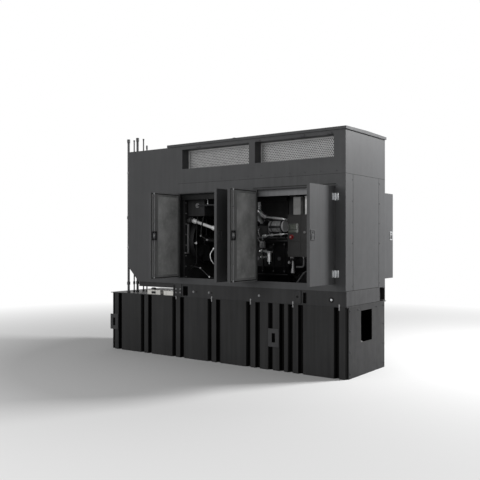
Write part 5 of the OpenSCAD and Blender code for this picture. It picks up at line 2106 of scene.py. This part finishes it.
    def _left_pipes(self) -> None:
        """Adds the pipes and hoses between radiator and engine, seen in the left doorway."""
        dark, grey, satin, dim = Shape(), Shape(), Shape(), Shape()
        dark.tube([(-0.62, -0.44, 2.66), (-0.61, -0.47, 2.52), (-0.61, -0.49, 2.16),
                   (-0.62, -0.47, 1.75), (-0.805, -0.44, 1.62)], 0.011, 14)
        dark.tube([(-0.47, -0.44, 2.66), (-0.488, -0.49, 2.40), (-0.488, -0.50, 2.276),
                   (-0.343, -0.49, 2.201), (-0.20, -0.38, 2.17), (-0.155, -0.25, 2.15)], 0.013, 14)
        dim.tube([(-0.57, -0.50, 2.85), (-0.16, -0.50, 2.85), (-0.05, -0.42, 2.78),
                  (-0.03, -0.20, 2.53)], 0.014, 14)
        dim.tube([(-0.805, -0.46, 1.72), (-0.66, -0.49, 1.70), (-0.512, -0.49, 1.675),
                  (-0.295, -0.49, 1.513), (-0.16, -0.34, 1.47), (-0.11, -0.22, 1.46)], 0.008, 12)
        satin.tube([(-0.155, -0.30, 2.08), (-0.22, -0.44, 2.05), (-0.272, -0.49, 1.95),
                    (-0.268, -0.49, 1.85), (-0.215, -0.46, 1.757), (-0.155, -0.30, 1.72)],
                   0.010, 16)
        ring(satin, (-0.61, -0.49, 2.120), UP, 0.011, 0.020, 0.046)
        satin.box((-0.616, -0.535, 2.138), (-0.604, -0.506, 2.150), 0.003)
        ring(grey, (-0.488, -0.50, 2.262), UP, 0.013, 0.021, 0.030)
        ring(grey, (-0.355, -0.4908, 2.207), (0.145, 0.0108, -0.075), 0.013, 0.021, 0.030)
        ring(satin, (-0.524, -0.49, 1.677), (9.524, 0, -1.377), 0.008, 0.016, 0.030)
        ring(satin, (-0.306, -0.49, 1.521), (0.217, 0, -0.162), 0.008, 0.016, 0.030)
        ring(satin, (-0.219, -0.438, 2.051), (-0.026, -0.027, -0.051), 0.010, 0.022, 0.040)
        grey.lathe((-0.586, -0.480, 2.85), FORE,
                   [(0, 0.044), (0.006, 0.046), (0.012, 0.044), (0.014, 0.026), (0.034, 0.026),
                    (0.042, 0.018), (0.042, 0.0)], 28)
        frame_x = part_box("radiator_frame")[1].x
        grey.box((frame_x, -0.520, 1.954), (frame_x + 0.022, -0.484, 2.506), 0.003)
        grey.box((frame_x, -0.596, 1.942), (frame_x + 0.022, -0.484, 1.966), 0.003)
        for z in (2.02, 2.24, 2.46):
            grey.lathe((frame_x + 0.022, -0.502, z), RIGHT,
                       [(0, 0.011), (0.006, 0.011), (0.008, 0.008)], 6)
        add_piece("engine_hoses", dark, Palette.RUBBER, Slot.CONTROL)
        add_piece("coolant_lines", dim, Palette.DARK_STEEL, Slot.BRIGHT)
        add_piece("radiator_stay", grey, Palette.GREY_CAST, Slot.BRIGHT)
        add_piece("braided_hose_and_unions", satin, Palette.SATIN, Slot.BRIGHT)

    def _right_pipes(self) -> None:
        """Adds the turbo elbow, the crossing pipes and the unions, seen in the right doorway."""
        bright, grey = Shape(), Shape()
        bright.tube([(0.70, -0.22, 2.52), (0.71, -0.36, 2.66), (0.75, -0.42, 2.72),
                     (0.82, -0.43, 2.70), (0.87, -0.43, 2.63), (0.93, -0.42, 2.605)], 0.034, 24)
        ring(bright, (0.905, -0.4235, 2.615), (0.040, 0.007, -0.020), 0.034, 0.040, 0.016, 32)
        bright.tube([(0.92, -0.42, 2.606), (1.302, -0.42, 2.564), (1.335, -0.36, 2.55),
                     (1.29, -0.20, 2.50)], 0.015, 16)
        ring(bright, (1.075, -0.42, 2.589), (0.227, 0, -0.025), 0.015, 0.021, 0.195)
        bright.tube([(0.80, -0.32, 2.19), (0.83, -0.40, 2.26), (0.90, -0.42, 2.276),
                     (1.302, -0.42, 2.305), (1.32, -0.32, 2.31), (1.29, -0.20, 2.32)], 0.013, 14)
        ring(bright, (0.86, -0.413, 2.271), (0.402, -0.007, 0.029), 0.013, 0.026, 0.075)
        for x in (1.035, 1.215):
            ring(bright, (x, -0.42, 2.276 + (x - 0.90) * 0.072), (1, 0, 0.072), 0.013, 0.024, 0.04)
        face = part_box("engine_block")[0].y
        for x, z, r in ((0.778, 2.006, 0.020), (0.864, 2.006, 0.020), (0.799, 1.900, 0.014),
                        (0.864, 1.900, 0.014)):
            bright.lathe((x, face, z), FORE,
                         [(0, r * 1.3), (0.010, r * 1.3), (0.012, r), (0.050, r), (0.056, r * 0.7),
                          (0.070, r * 0.7)], 6)
        grey.box((0.780, face - 0.075, 2.060), (0.862, face, 2.180), 0.012, 3)
        grey.button((0.821, face - 0.075, 2.120), FORE, 0.030, 0.012, 0.016, 0.024, 28)
        grey.tube([(0.745, -0.41, 2.69), (0.745, -0.44, 2.55), (0.745, -0.43, 2.25),
                   (0.79, -0.39, 2.15)], 0.007, 12)
        add_piece("silver_pipes", bright, Palette.SATIN, Slot.BRIGHT)
        add_piece("fuel_pump", grey, Palette.GREY_CAST, Slot.BRIGHT)

    def _air_cleaner(self) -> None:
        """Adds the ribs, the bands and the dark joint of the air cleaner."""
        low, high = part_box("air_cleaner")
        radius = (high.z - low.z) / 2
        y, z = low.y + radius, (low.z + high.z) / 2
        ribs, bands = Shape(), Shape()
        for k in range(9):
            x = low.x + 0.02 + k * (high.x - low.x - 0.05) / 8
            ribs.lathe((x, y, z), RIGHT,
                       [(0, radius - 0.01), (0.003, radius + 0.003), (0.007, radius + 0.003),
                        (0.010, radius - 0.01)], 40)
        for x in (low.x + 0.045, high.x - 0.06):
            ring(bands, (x, y, z), RIGHT, radius - 0.005, radius + 0.006, 0.014, 40)
            bands.box((x, y - 0.02, z + radius), (x + 0.014, y + 0.02, z + radius + 0.014), 0.002)
        bands.box((low.x + 0.010, low.y - 0.007, z - 0.034),
                  (high.x - 0.060, low.y + 0.02, z + 0.010), 0.003)
        add_piece("air_cleaner_ribs", ribs, Palette.AIR, Slot.CONTROL)
        add_piece("air_cleaner_bands", bands, Palette.PLASTIC, Slot.CONTROL)

    def _filter(self) -> None:
        """Adds the rolled rims and the drain cock of the fuel filter."""
        low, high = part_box("fuel_filter")
        radius = (high.x - low.x) / 2
        x, y = (low.x + high.x) / 2, low.y + radius
        rims = Shape()
        for z in (low.z + 0.010, high.z - 0.058):
            ring(rims, (x, y, z), UP, radius - 0.004, radius + 0.003, 0.012, 32)
        rims.rod((x, y, low.z - 0.034), (x, y, low.z + 0.002), 0.011, 0.3, 16)
        rims.rod((x - 0.022, y, low.z - 0.026), (x + 0.022, y, low.z - 0.026), 0.005, 0.3, 10)
        ring(rims, (x, y, low.z - 0.042), UP, 0.010, 0.017, 0.012, 20)
        add_piece("filter_rims_and_drain", rims, Palette.STEEL, Slot.BRIGHT)

    def _radiator(self) -> None:
        """Adds the bolts of the radiator's frame and the header tank's cap and elbow."""
        low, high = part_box("radiator_frame")
        bolts = [(high.x, y, low.z + 0.12 + k * 0.2) for y in (low.y + 0.045, high.y - 0.045)
                 for k in range(8)]
        add_bolts("radiator_bolts", RIGHT, 0.020, Palette.DULL_STEEL, Slot.LATCH, bolts)
        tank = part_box("header_tank")
        cap = Shape()
        y, top = tank[0].y + 0.07, tank[1].z
        cap.lathe((-0.575, y, top - 0.002), UP,
                  [(0, 0.034), (0.012, 0.034), (0.014, 0.040), (0.024, 0.040), (0.029, 0.030),
                   (0.029, 0)], 32)
        cap.box((-0.620, y - 0.008, top + 0.020), (-0.530, y + 0.008, top + 0.030), 0.003)
        cap.tube([(-0.46, y, top - 0.004), (-0.46, y, top + 0.03), (-0.43, y, top + 0.04),
                  (-0.40, y, top + 0.02), (-0.395, y, top - 0.11), (-0.425, y, top - 0.13)],
                 0.009, 14)
        add_piece("radiator_cap", cap, Palette.STEEL, Slot.BRIGHT)

    def _fan(self) -> None:
        """Adds the cooling fan, its shroud ring and its shaft to the engine."""
        x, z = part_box("radiator_frame")[1].x, self.fan_z
        shroud = Shape()
        shroud.lathe((x - 0.005, 0, z), RIGHT,
                     [(0, 0.43), (0, 0.47), (0.10, 0.45), (0.10, 0.435), (0.01, 0.425)], 48)
        add_piece("fan_ring", shroud, Palette.PLASTIC, Slot.SKID)
        blades = Shape()
        for k in range(self.blades):
            a = 2 * math.pi * k / self.blades
            centre = Vector((x + 0.05, 0.25 * math.cos(a), z + 0.25 * math.sin(a)))
            out = Vector((0, math.cos(a), math.sin(a)))
            side = Vector((0.55, -math.sin(a) * 0.84, math.cos(a) * 0.84))
            corners = [centre + out * o + side * s
                       for o, s in ((-0.17, -0.05), (0.16, -0.09), (0.16, 0.09), (-0.17, 0.05))]
            face = side.cross(out).normalized() * 0.005
            near = [blades.bm.verts.new(c + face) for c in corners]
            far = [blades.bm.verts.new(c - face) for c in corners]
            blades.bm.faces.new(near)
            blades.bm.faces.new(list(reversed(far)))
            for i in range(4):
                j = (i + 1) % 4
                blades.bm.faces.new([near[j], near[i], far[i], far[j]])
        blades.lathe((x, 0, z), RIGHT,
                     [(0, 0.06), (0, 0.11), (0.09, 0.11), (0.10, 0.09), (0.10, 0.0)], 32)
        blades.rod((x + 0.09, 0, z), (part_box("engine_block")[0].x + 0.01, 0, z), 0.05)
        add_piece("cooling_fan", blades, Palette.PLASTIC, Slot.ENGINE)

    def _alternator(self) -> None:
        """Adds the cooling fins of the alternator."""
        low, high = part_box("alternator")
        radius = high.y
        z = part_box("engine_block")[0].z + radius
        fins = Shape()
        for k in range(self.fins):
            a = 2 * math.pi * k / self.fins
            if math.sin(a) < -0.75:
                continue
            turn = Matrix.Translation((0, 0, z)) @ Matrix.Rotation(a, 4, "X")
            known = set(fins.bm.verts)
            fins.box((low.x + 0.30, radius - 0.01, -0.008), (high.x - 0.25, radius + 0.018, 0.008),
                     0.003, 1)
            for vert in fins.bm.verts:
                if vert not in known:
                    vert.co = turn @ vert.co
        add_piece("alternator_fins", fins, Palette.ENGINE, Slot.ENGINE)


@dataclass
class Controls:
    """The control cabinet, its operator panel and the charger box above it.

    The runs of the conduits are corners in the frame's metres, read off the photograph.

    Attributes:
        at: the main planes.
        stop: place of the stop button, along X and Z.
        knob: place of the selector knob, along X and Z.
        duct_x: left and right side of the pale duct beside the charger.
        conduit_x: places of the fittings under the cabinet, from the left.
        conduit_y: place of the fittings along Y.
    """

    at: Levels
    stop: tuple[float, float] = (1.499, 2.252)
    knob: tuple[float, float] = (1.762, 2.327)
    duct_x: tuple[float, float] = (1.746, 1.800)
    conduit_x: tuple[float, float, float] = (1.450, 1.484, 1.702)
    conduit_y: float = -0.42

    def dress(self) -> None:
        """Gives the cabinet's nodes their finishes."""
        dress_nodes(Palette.CABINET, "control_cabinet", "cabinet_stand")
        dress_nodes(Palette.DISPLAY, "control_face")
        dress_nodes(Palette.PALE, "charger_box")

    def build(self) -> None:
        """Adds the display, the buttons, the locks, the conduits and the duct."""
        self._panel()
        self._cabinet()
        self._conduits()
        self._charger()

    def _panel(self) -> None:
        """Adds the controller's display and keys, the stop button and the selector."""
        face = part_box("control_cabinet")[0].y
        low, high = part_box("control_face")
        glass = Shape().frame_plate((low.x + 0.014, low.y - 0.004, low.z + 0.046),
                                    (high.x - 0.014, low.y, high.z - 0.012), 0.007, Axis.Y, 0.002)
        add_piece("display_frame", glass, Palette.PLASTIC, Slot.CONTROL)
        key = Shape().box((low.x + 0.016, low.y - 0.004, low.z + 0.012),
                          (low.x + 0.034, low.y, low.z + 0.026), 0.002)
        keys = Repeat.grid(key, Palette.DISPLAY, 6, 1, (0.028, 0, 0), (0, 0, 0))
        add_piece("controller_keys", keys, Palette.DISPLAY, Slot.GREY)
        red, pale, collar = Shape(), Shape(), Shape()
        x, z = self.stop
        red.lathe((x, face, z), FORE,
                  [(0, 0.041), (0.004, 0.041), (0.007, 0.037), (0.007, 0.022), (0.020, 0.020),
                   (0.020, 0.027), (0.030, 0.029), (0.037, 0.024), (0.038, 0.012)], 40)
        # Painted highlight: the stop button's pale middle cap stands for light on its head.
        pale.button((x, face - 0.034, z), FORE, 0.012, 0.005, 0.006, 0.010, 24)
        x, z = self.knob
        collar.button((x, face, z), FORE, 0.030, 0.006, 0.008, 0.026, 32)
        pale.lathe((x, face - 0.008, z), FORE,
                   [(0, 0.020), (0.012, 0.018), (0.014, 0.015), (0.014, 0)], 24)
        pale.box((x - 0.005, face - 0.030, z - 0.020), (x + 0.005, face - 0.015, z + 0.020), 0.002)
        add_piece("stop_button", red, Palette.RED, Slot.CONTROL)
        add_piece("knob_and_caps", pale, Palette.PALE, Slot.GREY)
        add_piece("knob_collar", collar, Palette.DARK_STEEL, Slot.BRIGHT)

    def _cabinet(self) -> None:
        """Adds the door seams, hinges and locks of the cabinet."""
        low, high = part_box("control_cabinet")
        seam, lock = Shape(), Shape()
        face, split, shelf = low.y, low.x + 0.40, low.z + 0.265
        for x0, x1, z0, z1 in ((low.x + 0.012, split - 0.006, shelf + 0.006, high.z - 0.012),
                               (split + 0.006, high.x - 0.012, shelf + 0.006, high.z - 0.012),
                               (low.x + 0.012, high.x - 0.012, low.z + 0.012, shelf - 0.006)):
            seam.frame_plate((x0, face - 0.003, z0), (x1, face, z1), 0.010, Axis.Y, 0.001)
            lock.button((x1 - 0.03, face, (z0 + z1) / 2), FORE, 0.010, 0.008, 0.010, 0.007, 20)
        for z in (low.z + 0.05, high.z - 0.10):
            lock.rod((low.x - 0.004, face + 0.008, z), (low.x - 0.004, face + 0.008, z + 0.05),
                     0.007)
        add_piece("cabinet_doors", seam, Palette.CABINET, Slot.CABINET)
        add_piece("cabinet_locks", lock, Palette.DARK_STEEL, Slot.LATCH)

    def _conduits(self) -> None:
        """Adds the fittings and conduits that run from the cabinet's foot to the alternator."""
        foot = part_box("control_cabinet")[0].z
        y, (left, boot, right) = self.conduit_y, self.conduit_x
        dark, pale, bright, dim = Shape(), Shape(), Shape(), Shape()
        dark.tube([(left, y, foot + 0.01), (1.445, y, 1.86), (1.405, y, 1.81), (1.400, -0.36, 1.78),
                   (1.42, -0.27, 1.80)], 0.013, 14)
        ring(bright, (1.425, y, 1.835), (-0.020, 0, -0.025), 0.013, 0.026, 0.045)
        dark.tube([(boot, y, foot + 0.01), (boot, y, 1.60), (boot, -0.30, 1.60),
                   (boot, -0.17, 1.66)], 0.012, 14)
        pale.lathe((boot, y, 1.842), DOWN,
                   [(0, 0.013), (0.02, 0.017), (0.10, 0.021), (0.16, 0.031), (0.19, 0.036),
                    (0.205, 0.034), (0.205, 0.013)], 28)
        dim.tube([(right, y, foot + 0.01), (right, y, 1.742), (1.544, y, 1.742),
                  (1.53, -0.25, 1.742)], 0.018, 16)
        dim.tube([(1.76, -0.22, 1.70), (1.72, -0.38, 1.665), (right, y, 1.643), (1.604, y, 1.521),
                  (1.57, -0.52, 1.42), (1.57, -0.655, 1.386)], 0.014, 14)
        for x in self.conduit_x:
            bright.lathe((x, y, foot), DOWN,
                         [(0, 0.026), (0.010, 0.026), (0.014, 0.022), (0.026, 0.020)], 6)
        add_piece("cabinet_conduits", dark, Palette.RUBBER, Slot.CONTROL)
        add_piece("cable_boot", pale, Palette.GREY_CAST, Slot.GREY)
        add_piece("grey_conduits", dim, Palette.PIPE, Slot.GREY)
        add_piece("conduit_fittings", bright, Palette.DULL_STEEL, Slot.BRIGHT)

    def _charger(self) -> None:
        """Adds louvres to the charger box and the pale duct beside it."""
        low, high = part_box("charger_box")
        slat = about(low.y, high.z, ((0, -0.060), (-0.006, -0.066), (0, -0.070)))
        louvre = Shape().prism(slat, Axis.X, low.x + 0.02, high.x - 0.02)
        mesh = Repeat.grid(louvre, Palette.PALE, 1, 6, (0, 0, 0), (0, 0, -0.022))
        add_piece("charger_louvres", mesh, Palette.PALE, Slot.GREY)
        x0, x1 = self.duct_x
        duct = Shape()
        duct.box((x0 + 0.004, low.y + 0.02, low.z), (x1 - 0.004, low.y + 0.07, high.z + 0.005),
                 0.004)
        duct.box((x0, low.y + 0.015, high.z - 0.006), (x1, low.y + 0.075, high.z + 0.012), 0.004)
        add_piece("wire_duct", duct, Palette.WHITE, Slot.WHITE)


@dataclass
class Studio:
    """The pale studio: floor, soft lights and the camera of the photograph.

    Attributes:
        place: the camera's place.
        heading: the camera's turn about Z, in degrees.
        lens: focal length in millimetres.
        key: power of the light beyond the cable window end.
        key_place: where it stands.
        fill: power of the large light in front.
        fill_place: where it stands.
        ambient: light of the sky on the object.
        floor_size: half the floor's width.
        floor_tones: grey of the floor where it lights the object, and where it is seen.
        fade: distances between which the floor runs out into white.
        sensor: width of the camera's sensor in millimetres.
    """

    place: Point = (7.494, -10.151, 2.201)
    heading: float = 36.245
    lens: float = 50.0
    key: float = 1160.0
    key_place: Point = (7.0, 5.2, 7.0)
    fill: float = 505.0
    fill_place: Point = (-2.0, -12.0, 5.0)
    ambient: float = 0.27
    floor_size: float = 60.0
    floor_tones: tuple[float, float] = (0.32, 0.80)
    fade: tuple[float, float] = (4.0, 12.0)
    sensor: float = 36.0

    def build(self) -> None:
        """Sets up floor, sky, lights and camera."""
        self._floor()
        self._sky()
        self._light("key_light", self.key_place, (1.5, 0.0, 1.8), (2.6, 2.6), self.key)
        self._light("fill_light", self.fill_place, (0.5, 0.0, 2.0), (11.0, 6.0), self.fill)
        self._camera()

    @staticmethod
    def _seen(graph: NodeGraph) -> Socket:
        """Returns 1 for the rays that show the studio, also mirrored or through glass, else 0."""
        ray = graph.node("ShaderNodeLightPath").outputs
        return graph.math("MAXIMUM", ray["Is Camera Ray"],
                          graph.math("MAXIMUM", ray["Is Glossy Ray"], ray["Is Transmission Ray"]))

    def _floor(self) -> None:
        """Lays a pale floor that runs out into the white and keeps the object's shadow."""
        form = bmesh.new()
        bmesh.ops.create_grid(form, x_segments=1, y_segments=1, size=self.floor_size)
        mesh = bpy.data.meshes.new("floor")
        form.to_mesh(mesh)
        form.free()
        floor = bpy.data.objects.new("floor", mesh)
        bpy.context.scene.collection.objects.link(floor)
        material = bpy.data.materials.new("floor_paint")
        material.use_nodes = True
        material.node_tree.nodes.clear()
        graph = NodeGraph(material.node_tree)
        seen = self._seen(graph)
        tone = graph.mix(seen, *((grey, grey, grey, 1.0) for grey in self.floor_tones))
        paint = graph.node("ShaderNodeBsdfDiffuse", {"Color": tone})
        white = graph.node("ShaderNodeEmission")
        place = graph.node("ShaderNodeTexCoord").outputs["Object"]
        away = graph.node("ShaderNodeVectorMath", {0: place}, operation="LENGTH").outputs["Value"]
        share = graph.math("MULTIPLY", seen, graph.spread(away, *self.fade, 0.0, 1.0))
        both = graph.node("ShaderNodeMixShader",
                          {0: share, 1: paint.outputs[0], 2: white.outputs[0]})
        graph.node("ShaderNodeOutputMaterial", {"Surface": both.outputs[0]})
        mesh.materials.append(material)

    def _sky(self) -> None:
        """Makes a white background that lights the object softly."""
        world = bpy.data.worlds.new("studio_sky")
        world.use_nodes = True
        world.node_tree.nodes.clear()
        graph = NodeGraph(world.node_tree)
        strength = graph.spread(self._seen(graph), 0.0, 1.0, self.ambient, 1.0)
        sky = graph.node("ShaderNodeBackground",
                         {"Color": (1.0, 1.0, 1.0, 1.0), "Strength": strength})
        graph.node("ShaderNodeOutputWorld", {"Surface": sky.outputs[0]})
        bpy.context.scene.world = world

    @staticmethod
    def _light(name: str, place: Point, target: Point, size: tuple[float, float],
               power: float) -> None:
        """Adds a soft rectangular light.

        Args:
            name: the light's name.
            place: where it stands.
            target: the point that it faces.
            size: its width and height.
            power: its power in watts.
        """
        data = bpy.data.lights.new(name, "AREA")
        data.shape = "RECTANGLE"
        data.size, data.size_y = size
        data.energy = power
        lamp = bpy.data.objects.new(name, data)
        bpy.context.scene.collection.objects.link(lamp)
        lamp.location = place
        lamp.rotation_euler = (Vector(target) - Vector(place)).to_track_quat("-Z", "Y").to_euler()

    def _camera(self) -> None:
        """Stands the camera where the photograph was taken."""
        data = bpy.data.cameras.new("photo_camera")
        data.lens = self.lens
        data.sensor_width = self.sensor
        data.clip_end = 200.0
        camera = bpy.data.objects.new("photo_camera", data)
        bpy.context.scene.collection.objects.link(camera)
        camera.location = self.place
        camera.rotation_euler = (math.radians(90.0), 0.0, math.radians(self.heading))
        bpy.context.scene.camera = camera
        bpy.context.scene.view_settings.view_transform = "Standard"


def main() -> None:
    """Builds the generator's fine parts and its studio."""
    logging.basicConfig(level=logging.INFO, format="%(message)s")
    at = Levels.read()
    (l0, l1), (r0, r1) = at.doors
    leaves = [
        DoorLeaf("front_door_1_left", Hand.LEFT, Side.FRONT, l0, at),
        DoorLeaf("front_door_1_right", Hand.RIGHT, Side.FRONT, l1, at),
        DoorLeaf("front_door_2_left", Hand.LEFT, Side.FRONT, r0, at),
        DoorLeaf("front_door_2_right", Hand.RIGHT, Side.FRONT, r1, at),
        DoorLeaf("rear_door_2_right", Hand.RIGHT, Side.REAR, r1, at),
    ]
    for part in (FuelTank(at), SkidBase(at), Enclosure(at), *leaves, Machinery(at), Controls(at)):
        part.dress()
        part.build()
        LOG.info("%s ready", type(part).__name__)
    Studio().build()
    bpy.context.view_layer.update()


if __name__ == "__main__":
    main()
